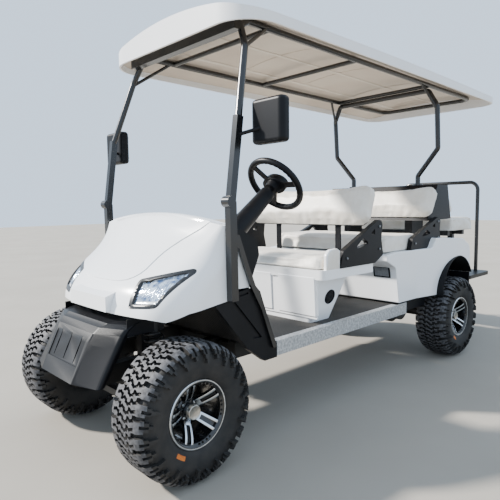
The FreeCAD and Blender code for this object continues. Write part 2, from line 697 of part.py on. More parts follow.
def pedals():
    pieces = []
    for x, w in ((170.0, 60.0), (300.0, 60.0)):
        pad = prism([(470, 560), (476, 566), (520, 470), (514, 464)], "yz", x - w / 2, x + w / 2)
        arm = prism([(toe_y(606) + SEAT_GAP, 606), (toe_y(626) + SEAT_GAP, 626), (478, 562), (472, 552)],
                    "yz", x - 9, x + 9)
        pieces.append(fuse([pad, arm]))
    PARTS["pedals"] = Part.makeCompound(pieces)


# FRONT STRUTS, ROOF AND REAR STRUTS
FRONT_BEAM_Y = 352.0
FRONT_BEAM_Z = ROOF_TOP_Z - 150


def front_struts():
    high = ROOF_TOP_Z - 548
    foot = flat_bar([(STRUT_X, 232, TOE_Z - 1), (STRUT_X, 228, 1123)], STRUT_W, 38, 0)
    middle = flat_bar([(STRUT_X, 228, 1123), (STRUT_X, 279, high)], STRUT_W - 4, 34, 0)
    knob = rod((STRUT_X - 22, 216, 1123), (STRUT_X + 22, 216, 1123), 24)
    upper = tube([(STRUT_X, 279, high - 12), (462, 383, ROOF_TOP_Z - 221), (ROOF_RAIL_X + 16, 410, ROOF_TOP_Z - 118),
                  (ROOF_RAIL_X, ROOF_RAIL_Y0, ROOF_RAIL_Z)], ROOF_RAIL_R, 40)
    brace = rod((458, 385, ROOF_TOP_Z - 230), (ROOF_RAIL_X, 600, ROOF_RAIL_Z), 9)
    x = STRUT_X - STRUT_W / 2
    stay = prism([
        (240, 965), (240, 988), (280, 980), (335, 838), (374, 747), (402, 719, 8), (431, 641), (512, 440), (486, 440),
        (411, 633), (349, 741), (275, 924)], "yz", x, x + 14)
    left = fuse([foot, middle, knob, upper, brace, stay])
    beam = box(-430, 430, FRONT_BEAM_Y, FRONT_BEAM_Y + 44, FRONT_BEAM_Z, FRONT_BEAM_Z + 42)
    PARTS["front_struts"] = fuse([left, mirrored(left), beam]).cut(PARTS["roof_frame"])


def roof_form(drop):
    """Everything under the doubly curved roof surface, lowered by drop."""
    half = ROOF_HALF_W + 60
    mid_y = ROOF_MID_Y
    top = ROOF_TOP_Z - drop
    edge = top - (ROOF_RX - math.sqrt(ROOF_RX ** 2 - half ** 2))
    arc = Part.Arc(V(-half, mid_y, edge), V(0, mid_y, top), V(half, mid_y, edge)).toShape()
    low = ROOF_LIP_Z - 90
    rest = Part.makePolygon([V(half, mid_y, edge), V(half, mid_y, low), V(-half, mid_y, low), V(-half, mid_y, edge)])
    face = Part.Face(Part.Wire([arc] + rest.Edges))
    pivot = V(0, mid_y, ROOF_TOP_Z - ROOF_RY)
    sweep = math.degrees(math.asin((ROOF_HALF_L + 60) / ROOF_RY))
    face.rotate(pivot, V(1, 0, 0), -sweep)
    return face.revolve(pivot, V(1, 0, 0), 2 * sweep)


def roof_plan(inset, z0, z1):
    w = ROOF_HALF_W - inset
    y0 = ROOF_Y0 + inset
    y1 = ROOF_Y1 - inset
    a = 190 - inset
    b = 150 - inset
    return prism([(-w, y0, a), (w, y0, a), (w, y1, b), (-w, y1, b)], "xy", z0, z1)


def roof():
    skin = roof_plan(0, ROOF_LIP_Z, ROOF_TOP_Z + 5).common(roof_form(0))
    hollow = roof_plan(ROOF_WALL, ROOF_LIP_Z - 5, ROOF_TOP_Z + 5).common(roof_form(ROOF_WALL))
    PARTS["roof_shell"] = skin.cut(hollow)
    liner = roof_plan(ROOF_WALL + SEAT_GAP, ROOF_LIP_Z, ROOF_TOP_Z).common(roof_form(ROOF_WALL + SEAT_GAP))
    liner = liner.cut(roof_form(ROOF_WALL + SEAT_GAP + LINER_T))
    strips = []
    y0 = ROOF_Y0 + 240
    y1 = ROOF_Y1 - 180
    for x in (-LINER_LINE_X, 0, LINER_LINE_X):
        strips.append(box(x - 6, x + 6, y0, y1, ROOF_LIP_Z, ROOF_TOP_Z))
    for k in range(5):
        y = y0 + (y1 - y0) * k / 4
        strips.append(box(-LINER_LINE_X, LINER_LINE_X, y - 6, y + 6, ROOF_LIP_Z, ROOF_TOP_Z))
    lines = fuse(strips).common(roof_form(ROOF_WALL + SEAT_GAP + LINER_T - LINER_LINE_DEEP))
    PARTS["roof_liner"] = liner.cut(lines)

    x = ROOF_RAIL_X
    y0 = ROOF_RAIL_Y0 + SEAT_GAP
    z = ROOF_RAIL_Z
    rails = [tube([(-x, y0, z), (-x, ROOF_RAIL_Y1, z), (x, ROOF_RAIL_Y1, z), (x, y0, z)], ROOF_RAIL_R, ROOF_CORNER_R)]
    for y in (620, 1365, REAR_CROSS_Y):
        rails.append(rod((-x, y, z), (x, y, z), ROOF_RAIL_R - 2))
    PARTS["roof_frame"] = fuse(rails)


REAR_STRUT_R = 18.0
REAR_STRUT_FOOT_X = 283.0
REAR_STRUT_X = 441.0
REAR_STRUT_Y = WHEELBASE - 27.0


def rear_struts():
    z = ROOF_RAIL_Z - ROOF_RAIL_R - REAR_STRUT_R - SEAT_GAP
    foot = SHELL_TOP_Z + SEAT_GAP
    y = REAR_STRUT_Y
    left = [(REAR_STRUT_FOOT_X, y, foot), (REAR_STRUT_FOOT_X, y, foot + 70), (REAR_STRUT_X, y - 15, foot + 260),
            (REAR_STRUT_X, y - 40, z - 110), (ROOF_RAIL_X - 10, REAR_CROSS_Y, z)]
    right = [(-a, b, c) for a, b, c in reversed(left)]
    hoop = tube(left + right, REAR_STRUT_R, 30)
    pieces = [hoop]
    for s in (-1, 1):
        pieces.append(rod((s * REAR_STRUT_FOOT_X, y, foot), (s * REAR_STRUT_FOOT_X, y, foot + 10), 36))
        pieces.append(rod((s * REAR_STRUT_X, y - 36, z - 145), (s * ROOF_RAIL_X, y - 165, ROOF_RAIL_Z - 10), 9))
    PARTS["rear_struts"] = fuse(pieces).cut(PARTS["roof_frame"])


MIRROR_Z = ROOF_TOP_Z - 572


def mirrors():
    head = box(540, 722, 332, 392, MIRROR_Z - 95, MIRROR_Z + 92)
    upright = [e for e in head.Edges if abs(e.Vertexes[0].Z - e.Vertexes[1].Z) > 1]
    head = head.makeFillet(24, upright)
    head = head.makeFillet(18, [e for e in head.Edges if e.BoundBox.ZLength < 1])
    arm = rod((STRUT_X, 268, MIRROR_Z - 57), (600, 345, MIRROR_Z - 28), 8)
    PARTS["mirrors"] = both([fuse([head, arm]).cut(PARTS["front_struts"])])


# SEATS
EAR_T = 24.0
RESTRAINT_Y = 1040.0
POD_PANELS = ((-438.0, -8.0), (8.0, 438.0))
FRONT_SEAT_Y0 = 905.0
FRONT_SEAT_Y1 = 1275.0
SECOND_SEAT_Y0 = WHEELBASE - 815.0
SECOND_SEAT_Y1 = WHEELBASE - 332.0
REAR_SEAT_Y0 = WHEELBASE + 193.0
REAR_SEAT_Y1 = WHEELBASE + 623.0
HINGE_BACK = 12.0
HINGE_UP = 8.0
HINGE_R = 7.0
PIN_R = 5.0
HINGE_X = (-150.0, 150.0)
REAR_SEAT_Z = 880.0


def seat_pod():
    low = outline([(-390, 925, 30), (390, 925, 30), (390, 1110, 30), (-390, 1110, 30)], "xy", FLOOR_Z + SEAT_GAP)
    top = outline([(-452, 912, 30), (452, 912, 30), (452, 1200, 30), (-452, 1200, 30)], "xy", 705)
    body = Part.makeLoft([low, top], True, True)
    tray = prism([(-POD_HALF_W, 900, 35), (POD_HALF_W, 900, 35), (POD_HALF_W, 1400, 35), (-POD_HALF_W, 1400, 35)],
                 "xy", 705, SEAT_BASE_Z)
    inner_low = outline([(-380, 935, 22), (380, 935, 22), (380, 1100, 22), (-380, 1100, 22)], "xy", FLOOR_Z)
    inner_top = outline([(-440, 924, 22), (440, 924, 22), (440, 1188, 22), (-440, 1188, 22)], "xy", 705)
    pit = prism([(-430, 930, 20), (430, 930, 20), (430, 1240, 20), (-430, 1240, 20)], "xy", 700, 800)
    panels = []
    for x0, x1 in POD_PANELS:
        panels.append(prism([(917, FLOOR_Z + 28), (906, 694), (925, 694), (930, FLOOR_Z + 28)], "yz", x0, x1))
    ears = []
    for side in (-1, 1):
        x0, x1 = sorted((side * (POD_HALF_W - EAR_T), side * POD_HALF_W))
        ear = prism([(925, 740), (925, 838, 22), (952, 866, 30), (1000, 868, 40), (RESTRAINT_Y, 858), (RESTRAINT_Y, 740)],
                    "yz", x0, x1)
        ears.append(ear.makeFillet(8, [e for e in ear.Edges if e.BoundBox.XLength < 0.01 and e.BoundBox.ZMin > 741]))
    pod = fuse([body, tray] + panels + ears).cut(Part.makeLoft([inner_low, inner_top], True, True)).cut(pit)
    axis_y = FRONT_SEAT_Y1 + HINGE_BACK
    axis_z = SEAT_BASE_Z + SEAT_GAP + HINGE_UP
    PARTS["front_pod"] = fuse([pod] + hinge_seat(axis_y, axis_z, SEAT_BASE_Z - 5).Solids)
    PARTS["battery_pack"] = box(-330, 330, 945, 1090, FLOOR_Z + SEAT_GAP, 690)


def hinge_seat(y, z, floor):
    """Pins and their holders on the fixed side of a seat hinge."""
    pieces = []
    for x in HINGE_X:
        pieces.append(rod((x - 20, y, z), (x + 20, y, z), PIN_R))
        for a, b in ((x - 20, x - 8), (x + 8, x + 20)):
            pieces.append(rod((a, y, z), (b, y, z), HINGE_R))
            pieces.append(box(a, b, y - 5, y + 5, floor, z))
    return Part.makeCompound(pieces)


def hinge_eyes(y, z, edge):
    """Eyes on the lid that turn on those pins."""
    pieces = []
    for x in HINGE_X:
        eye = rod((x - 7, y, z), (x + 7, y, z), HINGE_R).fuse(box(x - 7, x + 7, edge - 20, y, z - 6, z - 1))
        pieces.append(eye.cut(rod((x - 9, y, z), (x + 9, y, z), PIN_R + RUNNING_FIT)))
    return pieces


# Each backrest is drawn on a leaning line: foot (Y, Z) of its front face and lean from upright
FRONT_LEAN = (1292.0, 1000.0, 20.4)
SECOND_LEAN = (WHEELBASE - 282.0, 1036.0, 30.7)
PAD_T = 70.0
PLATE_T = 12.0
POST_T = 10.0
POST_Y = 1372.0
SHELL_TOP_Z = 1240.0
REAR_LEAN = (WHEELBASE + 148.0, 1000.0, -14.0)
REAR_UP = 247.0


def lean_point(lean, along, deep):
    y, z, angle = lean
    s = math.sin(math.radians(angle))
    c = math.cos(math.radians(angle))
    return y + along * s + deep * c, z + along * c - deep * s


def back_pad(lean, along0, along1, deep0, deep1, half_w, radius, edge):
    """Board with rounded corners on a leaning line, its front edge rounded if asked."""
    pad = prism([(-half_w, along0, radius), (half_w, along0, radius), (half_w, along1, radius),
                 (-half_w, along1, radius)], "xz", deep0, deep1)
    if edge:
        front = [e for e in pad.Edges if abs(e.BoundBox.YMin - deep0) < 0.01 and e.BoundBox.YLength < 0.01]
        pad = pad.makeFillet(edge, front)
    pad.rotate(V(0, 0, 0), V(1, 0, 0), -lean[2])
    pad.translate(V(0, lean[0], lean[1]))
    return pad


def cushion(y0, y1, z, thick, half_w):
    return prism([(-half_w, y0, 40), (half_w, y0, 40), (half_w, y1, 40), (-half_w, y1, 40)], "xy", z, z + thick)


RESTRAINT = (
    # Y from the foot, height over the seat base, corner radius
    (0.0, 0.0, 0.0), (350.0, 0.0, 0.0), (438.0, 44.0, 12.0), (416.0, 136.0, 40.0), (430.0, 246.0, 32.0),
    (386.0, 254.0, 14.0), (320.0, 226.0, 40.0), (24.0, 92.0, 10.0),
)
RESTRAINT_HOLES = (
    ((132.0, 93.0, 8.0), (222.0, 155.0, 8.0), (286.0, 120.0, 8.0)),
    ((300.0, 176.0, 4.0), (344.0, 205.0, 4.0), (344.0, 168.0, 4.0)),
)
SECOND_RISE = 0.82


def restraint(y, z, rise):
    """Hip restraint, a moulded triangle with two openings."""
    x0 = RESTRAINT_X - RESTRAINT_T / 2
    x1 = RESTRAINT_X + RESTRAINT_T / 2
    piece = prism([(y + a, z + b * rise, r * rise) for a, b, r in RESTRAINT], "yz", x0, x1)
    for hole in RESTRAINT_HOLES:
        piece = piece.cut(prism([(y + a, z + b * rise, r * rise) for a, b, r in hole], "yz", x0 - 5, x1 + 5))
    return piece


def seats():
    w = SEAT_HALF_W
    lid = cushion(FRONT_SEAT_Y0, FRONT_SEAT_Y1, SEAT_BASE_Z + SEAT_GAP, CUSHION_T, w)
    eyes = hinge_eyes(FRONT_SEAT_Y1 + HINGE_BACK, SEAT_BASE_Z + SEAT_GAP + HINGE_UP, FRONT_SEAT_Y1)
    PARTS["front_cushion"] = fuse([lid] + eyes)
    PARTS["second_cushion"] = cushion(SECOND_SEAT_Y0, SECOND_SEAT_Y1, DECK_Z + SEAT_GAP, 92, w)
    lid = cushion(REAR_SEAT_Y0 + 20, REAR_SEAT_Y1, REAR_SEAT_Z + 10 + SEAT_GAP, 93, w - 20)
    eyes = hinge_eyes(REAR_SEAT_Y1 + HINGE_BACK, REAR_SEAT_Z + 10 + SEAT_GAP + HINGE_UP, REAR_SEAT_Y1)
    PARTS["rear_cushion"] = fuse([lid] + eyes)

    PARTS["front_back"] = back_pad(FRONT_LEAN, 0, 229, 0, PAD_T, BACK_HALF_W, 60, 24)
    back = PAD_T + SEAT_GAP
    plate = back_pad(FRONT_LEAN, 4, 225, back, back + PLATE_T, w - 4, 50, 0)
    back += PLATE_T
    z = SEAT_BASE_Z + SEAT_GAP
    side = [(POST_Y, z), (POST_Y + POST_T, z), lean_point(FRONT_LEAN, -4, back + POST_T),
            lean_point(FRONT_LEAN, 190, back + POST_T), lean_point(FRONT_LEAN, 190, back), lean_point(FRONT_LEAN, 0, back)]
    posts = []
    for x in (-270, 230):
        posts.append(prism(side, "yz", x, x + 40))
        posts.append(box(x - 5, x + 45, POST_Y - 25, POST_Y + POST_T + 10, z, z + 7))
    PARTS["seat_backing"] = fuse([plate] + posts)

    PARTS["second_back"] = back_pad(SECOND_LEAN, 0, 225, 0, PAD_T, BACK_HALF_W, 60, 24)
    back = PAD_T + SEAT_GAP
    up = (SHELL_TOP_Z - SECOND_LEAN[1] + back * math.sin(math.radians(SECOND_LEAN[2])))
    up = up / math.cos(math.radians(SECOND_LEAN[2]))
    low = lean_point(SECOND_LEAN, -20, back)
    top = lean_point(SECOND_LEAN, up, back)
    crest = lean_point(REAR_LEAN, REAR_UP, -SEAT_GAP)
    skirt = lean_point(REAR_LEAN, -10, -SEAT_GAP)
    shell = prism([low, top, crest, skirt], "yz", -w + 8, w - 8)
    legs = []
    for x in (-300, 240):
        y0 = WHEELBASE - 137
        y1 = WHEELBASE + 33
        legs.append(prism([(y0, hump_z(y0) + SEAT_GAP), (y0, low[1] + 60), (y1, low[1] + 60),
                           (y1, hump_z(y1) + SEAT_GAP)], "yz", x, x + 60))
    PARTS["seat_shell"] = fuse([shell] + legs)
    PARTS["rear_back"] = back_pad(REAR_LEAN, 0, 215, 0, PAD_T - 5, w - 14, 50, 0)

    front = restraint(RESTRAINT_Y + SEAT_GAP, SEAT_BASE_Z + SEAT_GAP, 1.0)
    second = restraint(WHEELBASE - 545, DECK_Z + SEAT_GAP, SECOND_RISE).cut(body_side(SEAT_GAP))
    PARTS["side_rails"] = both([front, second])


# REAR BODY
def body_side(rise):
    """Side outline of the rear body through the whole width, moved up by rise."""
    y = WHEELBASE
    return prism([
        (y - 685, 470 + rise, 10), (y - 727, 700 + rise, 40), (y - 831, 752 + rise, 12), (y - 831, 790 + rise, 8),
        (y - 707, DECK_Z + rise), (y - 312, DECK_Z + rise, 30), (HUMP_Y0, HUMP_Z + rise, 25),
        (HUMP_Y1, HUMP_Z - HUMP_DROP + rise, 60), (y + 193, 790 + rise, 60), (y + 233, 590 + rise),
        (y + 333, 470 + rise)], "yz", -620, 620)


def rear_body():
    y = WHEELBASE
    b = BODY_HALF_W
    f = FENDER_HALF_W
    plan = prism([
        (-b, y - 867), (b, y - 867), (b + 10, y - 467, 300), (f, y - 37, 300), (f, y + 273, 80), (-f, y + 273, 80),
        (-f, y - 37, 300), (-b - 10, y - 467, 300)], "xy", 400, 1000)
    body = body_side(0).common(plan)
    body = body.makeFillet(BODY_EDGE_R, body_edges(body))
    inner_side = prism([
        (y - 673, 440), (y - 715, 700), (y - 707, DECK_Z - 12), (y - 305, DECK_Z - 12), (HUMP_Y0 + 6, HUMP_Z - 12),
        (HUMP_Y1, HUMP_Z - HUMP_DROP - 12), (y + 173, 780), (y + 223, 590), (y + 233, 440)],
        "yz", -f + BODY_WALL, f - BODY_WALL)
    b -= BODY_WALL
    f -= BODY_WALL
    inner_plan = prism([
        (-b, y - 867), (b, y - 867), (b + 10, y - 467, 300), (f, y - 37, 300), (f, y + 265), (-f, y + 265),
        (-f, y - 37, 300), (-b - 10, y - 467, 300)], "xy", 400, 1000)
    body = body.cut(inner_side.common(inner_plan))
    rise = Part.Arc(V(0, y - 252, 440), V(0, y - 7, 728), V(0, y + 225, 596)).toShape()
    low = Part.makePolygon([V(0, y + 225, 596), V(0, y + 393, 440), V(0, y - 252, 440)])
    arch = Part.Face(Part.Wire([rise] + low.Edges)).extrude(V(2000, 0, 0))
    arch.translate(V(-1000, 0, 0))
    PARTS["rear_body"] = body.cut(arch)


def body_edges(body):
    """Outer upper edges of both sides, and the front corners."""
    picked = []
    for e in body.Edges:
        c = e.BoundBox
        if c.XLength > 150 or c.ZMin < 469:
            continue
        if min(abs(c.XMin), abs(c.XMax)) < BODY_HALF_W - 20:
            continue
        if c.ZMax < 780 and c.YMin > WHEELBASE - 600:
            continue
        if c.ZLength > 60 and c.YMin > WHEELBASE:
            continue
        if abs(c.ZMin - 470) < 1 and c.ZLength < 1:
            continue
        picked.append(e)
    return picked


def rear_liner():
    """Black inner wheel housings, sills and flaps beside the frame."""
    y = WHEELBASE
    pieces = []
    for s in (-1, 1):
        x0, x1 = sorted((s * 382, s * 390))
        wall = prism([(y - 301, FRAME_TOP), (y - 301, DECK_Z - 20), (y + 133, DECK_Z - 20), (y + 193, 580),
                      (y + 321, 580), (y + 321, FRAME_TOP)], "yz", x0, x1)
        x2, x3 = sorted((s * 385, s * 545))
        flap = box(x2, x3, y + 313, y + 321, FRAME_TOP, 580)
        x4, x5 = sorted((s * RAIL_X, s * 385))
        foot = box(x4, x5, y - 301, y - 261, FRAME_TOP, FRAME_TOP + 8)
        foot2 = box(x4, x5, y + 288, y + 318, FRAME_TOP, FRAME_TOP + 8)
        pieces.append(fuse([wall, flap, foot, foot2]))
        x0, x1 = sorted((s * (RAIL_X + 25 + SEAT_GAP), s * (BODY_HALF_W - 12)))
        pieces.append(box(x0, x1, FLOOR_Y1 + 8, y - 307, FRAME_TOP - 40, FRAME_TOP + 26))
    PARTS["rear_liner"] = Part.makeCompound(pieces)


def rear_deck():
    x = FOOT_HALF_W
    plate = prism([(-x, FOOT_Y0, 20), (x, FOOT_Y0, 20), (x, TAIL_Y, 40), (-x, TAIL_Y, 40)], "xy",
                  FOOT_Z - FOOT_T, FOOT_Z)
    PARTS["footplate"] = plate
    pieces = []
    front = REAR_SEAT_Y0 + 50
    back = REAR_SEAT_Y1 - 110
    low = REAR_SEAT_Z - 30
    top = REAR_SEAT_Z + 10
    for s in (-1, 1):
        xr = s * RAIL_X
        pieces.append(box(xr - 20, xr + 20, back, TAIL_Y - 60, FRAME_TOP, FOOT_Z - FOOT_T))
        pieces.append(box(xr - 20, xr + 20, back, back + 40, FRAME_TOP, low))
        pieces.append(box(xr - 20, xr + 20, front, back + 40, low, top))
        pieces.append(box(xr - 20, xr + 20, front, front + 40, FRAME_TOP, low))
    pieces.append(box(-400, 400, back, back + 40, low, top))
    pieces.append(box(-400, 400, front, front + 40, low, top))
    axis_y = REAR_SEAT_Y1 + HINGE_BACK
    for x in HINGE_X:
        pieces.append(box(x - 20, x + 20, back, axis_y + 5, low + 10, top - 8))
    pieces += hinge_seat(axis_y, top + SEAT_GAP + HINGE_UP, top - 20).Solids
    PARTS["rear_seat_frame"] = fuse(pieces)
    PARTS["grab_bar"] = tube([(BAR_X, BAR_Y, FOOT_Z + SEAT_GAP), (BAR_X, BAR_Y, BAR_TOP_Z), (-BAR_X, BAR_Y, BAR_TOP_Z),
                              (-BAR_X, BAR_Y, FOOT_Z + SEAT_GAP)], BAR_R, 70)


def build():
    wheels()
    front_suspension()
    steering_gear()
    chassis()
    rear_axle()
    floor()
    cowl()
    bumper()
    dash()
    steering()
    pedals()
    roof()
    front_struts()
    rear_struts()
    mirrors()
    seat_pod()
    seats()
    rear_body()
    rear_liner()
    rear_deck()


build()
os.makedirs("parts", exist_ok=True)
for node in PARTS:
    at(PARTS[node], 0, SHIFT_Y, 0).exportStep("parts/" + node + ".step")
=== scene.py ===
import math
import bpy
from mathutils import Matrix, Vector


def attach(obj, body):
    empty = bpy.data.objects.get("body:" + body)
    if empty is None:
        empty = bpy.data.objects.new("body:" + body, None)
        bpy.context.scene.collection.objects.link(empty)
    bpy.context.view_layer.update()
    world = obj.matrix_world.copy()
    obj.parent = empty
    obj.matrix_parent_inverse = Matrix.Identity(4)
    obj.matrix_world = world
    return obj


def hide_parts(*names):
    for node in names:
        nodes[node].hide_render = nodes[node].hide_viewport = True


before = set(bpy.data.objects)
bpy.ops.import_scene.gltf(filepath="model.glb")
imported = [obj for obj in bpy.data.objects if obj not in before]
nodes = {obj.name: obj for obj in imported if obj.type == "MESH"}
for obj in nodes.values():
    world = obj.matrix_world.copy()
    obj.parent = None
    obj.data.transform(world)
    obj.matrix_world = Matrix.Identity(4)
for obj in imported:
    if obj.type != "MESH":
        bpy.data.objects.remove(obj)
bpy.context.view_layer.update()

# View and light: the cart is seen from its front left corner, from about chest height and close by.
# It stands under a soft pale blue sky, with one broad warm light low over its front right.
eye = Vector((2.0504, -2.6794, 1.1031))
heading = math.radians(135.851)
dip = math.radians(5.149)
roll = math.radians(-0.786)
focal_mm, sensor_mm = 35.08, 36.0
sky_blue, sky_strength = (0.66, 0.81, 1.0, 1.0), 1.55
sun_warm, sun_strength = (1.0, 0.965, 0.91), 11.0
sun_from = Vector((-0.62, -0.5, 0.56))
sun_spread = math.radians(4)

ahead = Vector((math.cos(heading) * math.cos(dip), math.sin(heading) * math.cos(dip), -math.sin(dip)))
level = Vector((math.sin(heading), -math.cos(heading), 0))
above = level.cross(ahead)
right = level * math.cos(roll) + above * math.sin(roll)
up = above * math.cos(roll) - level * math.sin(roll)
lens = bpy.data.cameras.new("view")
lens.lens = focal_mm
lens.sensor_width = sensor_mm
camera = bpy.data.objects.new("view", lens)
camera.matrix_world = Matrix.Translation(eye) @ Matrix((right, up, -ahead)).transposed().to_4x4()
bpy.context.scene.collection.objects.link(camera)
bpy.context.scene.camera = camera

sky = bpy.data.worlds.new("soft_sky")
sky.use_nodes = True
sky.node_tree.nodes["Background"].inputs["Color"].default_value = sky_blue
sky.node_tree.nodes["Background"].inputs["Strength"].default_value = sky_strength
bpy.context.scene.world = sky

sun = bpy.data.lights.new("broad_light", "SUN")
sun.energy = sun_strength
sun.angle = sun_spread
sun.color = sun_warm
lamp = bpy.data.objects.new("broad_light", sun)
lamp.rotation_euler = sun_from.to_track_quat("Z", "Y").to_euler()
bpy.context.scene.collection.objects.link(lamp)

# Studio floor: a plain pale sheet, far larger than the cart, that catches its shadow.
# It is no part of the cart. Its tone drifts faintly, so that it doesn't look like paper.
floor_span = 60


def start(kind, name, **how):
    """A new primitive, alone in the selection, with its place in its mesh."""
    bpy.ops.object.select_all(action="DESELECT")
    getattr(bpy.ops.mesh, "primitive_" + kind + "_add")(**how)
    piece = bpy.context.object
    piece.name = name
    piece.data.name = name
    bpy.ops.object.transform_apply(location=True, rotation=True, scale=True)
    return piece


def linear(code):
    """Linear RGBA of an sRGB hex value."""
    value = [int(code[i:i + 2], 16) / 255 for i in (1, 3, 5)]
    return [v / 12.92 if v <= 0.04045 else ((v + 0.055) / 1.055) ** 2.4 for v in value] + [1.0]


def add(tree, kind, settings, links=None):
    """A node with its settings, and links given as input: (node, output)."""
    made = tree.nodes.new("ShaderNode" + kind)
    for name, value in settings.items():
        if name[0].islower():
            setattr(made, name, value)
        else:
            made.inputs[name].default_value = value
    for name, (source, output) in (links or {}).items():
        tree.links.new(source.outputs[output], made.inputs[name])
    return made


def finish(name, colour, roughness, **sockets):
    """A new material, and its kit: the node tree, the shader and the Object coordinates."""
    made = bpy.data.materials.new(name)
    made.use_nodes = True
    tree = made.node_tree
    shader = tree.nodes["Principled BSDF"]
    shader.inputs["Base Color"].default_value = linear(colour)
    shader.inputs["Roughness"].default_value = roughness
    for socket, value in sockets.items():
        shader.inputs[socket.replace("_", " ").title().replace("Ior", "IOR")].default_value = value
    return made, (tree, shader, add(tree, "TexCoord", {}))


def mottle(kit, low, high, size, contrast=1.0):
    """The base colour drifts between two colours in patches of that size in millimetres."""
    tree, shader, place = kit
    patches = add(tree, "TexNoise", {"Scale": 1000 / size, "Detail": 4.0}, {"Vector": (place, "Object")})
    spread = add(tree, "MapRange", {"From Min": 0.5 - 0.25 / contrast, "From Max": 0.5 + 0.25 / contrast},
                 {"Value": (patches, "Fac")})
    mixed = add(tree, "MixRGB", {"Color1": linear(low), "Color2": linear(high)}, {"Fac": (spread, "Result")})
    tree.links.new(mixed.outputs["Color"], shader.inputs["Base Color"])


floor_sheet = start("plane", "studio_floor", size=floor_span)
studio, kit = finish("pale_studio_floor", "#9C968C", 0.9)
mottle(kit, "#969086", "#A19B91", 900)
floor_sheet.data.materials.append(studio)

# Ladder frame: box sections of mild steel, welded, with the axle, the arms and the seat frame bolted to it.
# All of it is sprayed satin black, and the film is uneven and a little dusty below.


def grain(kit, size, depth, under=None):
    """Raised grain of that size and depth in millimetres, on top of an earlier relief."""
    tree, shader, place = kit
    noise = add(tree, "TexNoise", {"Scale": 1000 / size, "Detail": 2.0}, {"Vector": (place, "Object")})
    relief = add(tree, "Bump", {"Strength": 1.0, "Distance": depth / 1000}, {"Height": (noise, "Fac")})
    if under is not None:
        tree.links.new(under.outputs["Normal"], relief.inputs["Normal"])
    tree.links.new(relief.outputs["Normal"], shader.inputs["Normal"])
    return relief


def coat(material, *names):
    """Puts the finish on these CAD nodes."""
    for name in names:
        node = nodes[name]
        if not node.material_slots:
            node.data.materials.append(None)
        for spot in node.material_slots:
            spot.link = "OBJECT"
            spot.material = material


# Sprayed chassis enamel: half dull black, with road dust lying on it in broad patches.
frame_paint, kit = finish("black_chassis_paint", "#131416", 0.5)
mottle(kit, "#0E0F11", "#24221F", 120)
grain(kit, 4, 0.2)
coat(frame_paint, "chassis", "front_subframe", "front_suspension", "rear_axle", "steering_rack_housing",
     "rear_seat_frame")

# Front springs: a coil of painted spring steel stands round each damper, between the tower and the
# lower arm. It is wound from one rod, and its two ends are cut off flat.
rod_r = 0.0055
coil_r = 0.0400
coil_rise = 0.030
coil_turns = 7
coil_foot = (0.275, -1.540, 0.360)
hand = {-1: "right", 1: "left"}


def choose(piece, kind, test):
    """Edit mode with only the faces, edges or points whose middle passes the test."""
    bpy.ops.object.mode_set(mode="EDIT")
    bpy.ops.mesh.select_mode(type=kind)
    bpy.ops.mesh.select_all(action="DESELECT")
    bpy.ops.object.mode_set(mode="OBJECT")
    mesh = piece.data
    if kind == "FACE":
        for face in mesh.polygons:
            face.select = test(face.center, face.normal)
    elif kind == "EDGE":
        for edge in mesh.edges:
            a, b = (mesh.vertices[i].co for i in edge.vertices)
            edge.select = test((a + b) / 2, b - a)
    else:
        for point in mesh.vertices:
            point.select = test(point.co, point.normal)
    bpy.ops.object.mode_set(mode="EDIT")


def done(piece, body, material, angle=35):
    """Leaves the piece shaded, finished and riding on its body."""
    if piece.mode != "OBJECT":
        bpy.ops.object.mode_set(mode="OBJECT")
    bpy.ops.object.select_all(action="DESELECT")
    piece.select_set(True)
    bpy.context.view_layer.objects.active = piece
    bpy.ops.object.shade_smooth_by_angle(angle=math.radians(angle))
    if not piece.data.materials:
        piece.data.materials.append(material)
    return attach(piece, body)


for side in (-1, 1):
    coil = start("circle", "front_coil_" + hand[side], vertices=10, radius=rod_r,
                 rotation=(math.pi / 2, 0, 0), location=(coil_r, 0, 0))
    wound = coil.modifiers.new("wound", "SCREW")
    wound.axis = "Z"
    wound.screw_offset = coil_rise
    wound.iterations = coil_turns
    wound.steps = 20
    wound.render_steps = 20
    wound.use_smooth_shade = True
    bpy.ops.object.modifier_apply(modifier=wound.name)
    coil.data.transform(Matrix.Translation((side * coil_foot[0], coil_foot[1], coil_foot[2])))
    choose(coil, "EDGE", lambda c, d: True)
    bpy.ops.mesh.normals_make_consistent(inside=False)
    bpy.ops.mesh.select_all(action="DESELECT")
    bpy.ops.mesh.select_non_manifold()
    bpy.ops.mesh.fill()
    done(coil, "cart", frame_paint, 60)

# Steering parts: the rack bar, the tie rod and both knuckles are turned or forged steel, zinc
# plated against rust. The bar slides in its housing, and the others turn on pins.

# Zinc plating: a dull grey metal with small brighter and darker blooms.
plated_steel, kit = finish("zinc_plated_steel", "#8C8E90", 0.38, metallic=1.0)
mottle(kit, "#7B7D80", "#9A9C9E", 30)
grain(kit, 2, 0.08)
coat(plated_steel, "rack_bar", "tie_rod", "knuckle_left", "knuckle_right")

# Motor and battery: a motor in a cast aluminium case is flanged to the axle. The battery is a
# moulded polypropylene box that stands in the seat base.

# Sand cast aluminium: a dull pale metal, rough to the touch.
cast_metal, kit = finish("cast_aluminium", "#7F8285", 0.55, metallic=1.0)
mottle(kit, "#6D7073", "#8E9194", 20)
grain(kit, 3, 0.3)
coat(cast_metal, "drive_motor")

# Moulded polypropylene: a dark plastic with a waxy half gloss.
battery_case, kit = finish("moulded_polypropylene", "#2A2C30", 0.5, ior=1.49)
mottle(kit, "#25272B", "#303338", 80)
grain(kit, 1.5, 0.1)
coat(battery_case, "battery_pack")

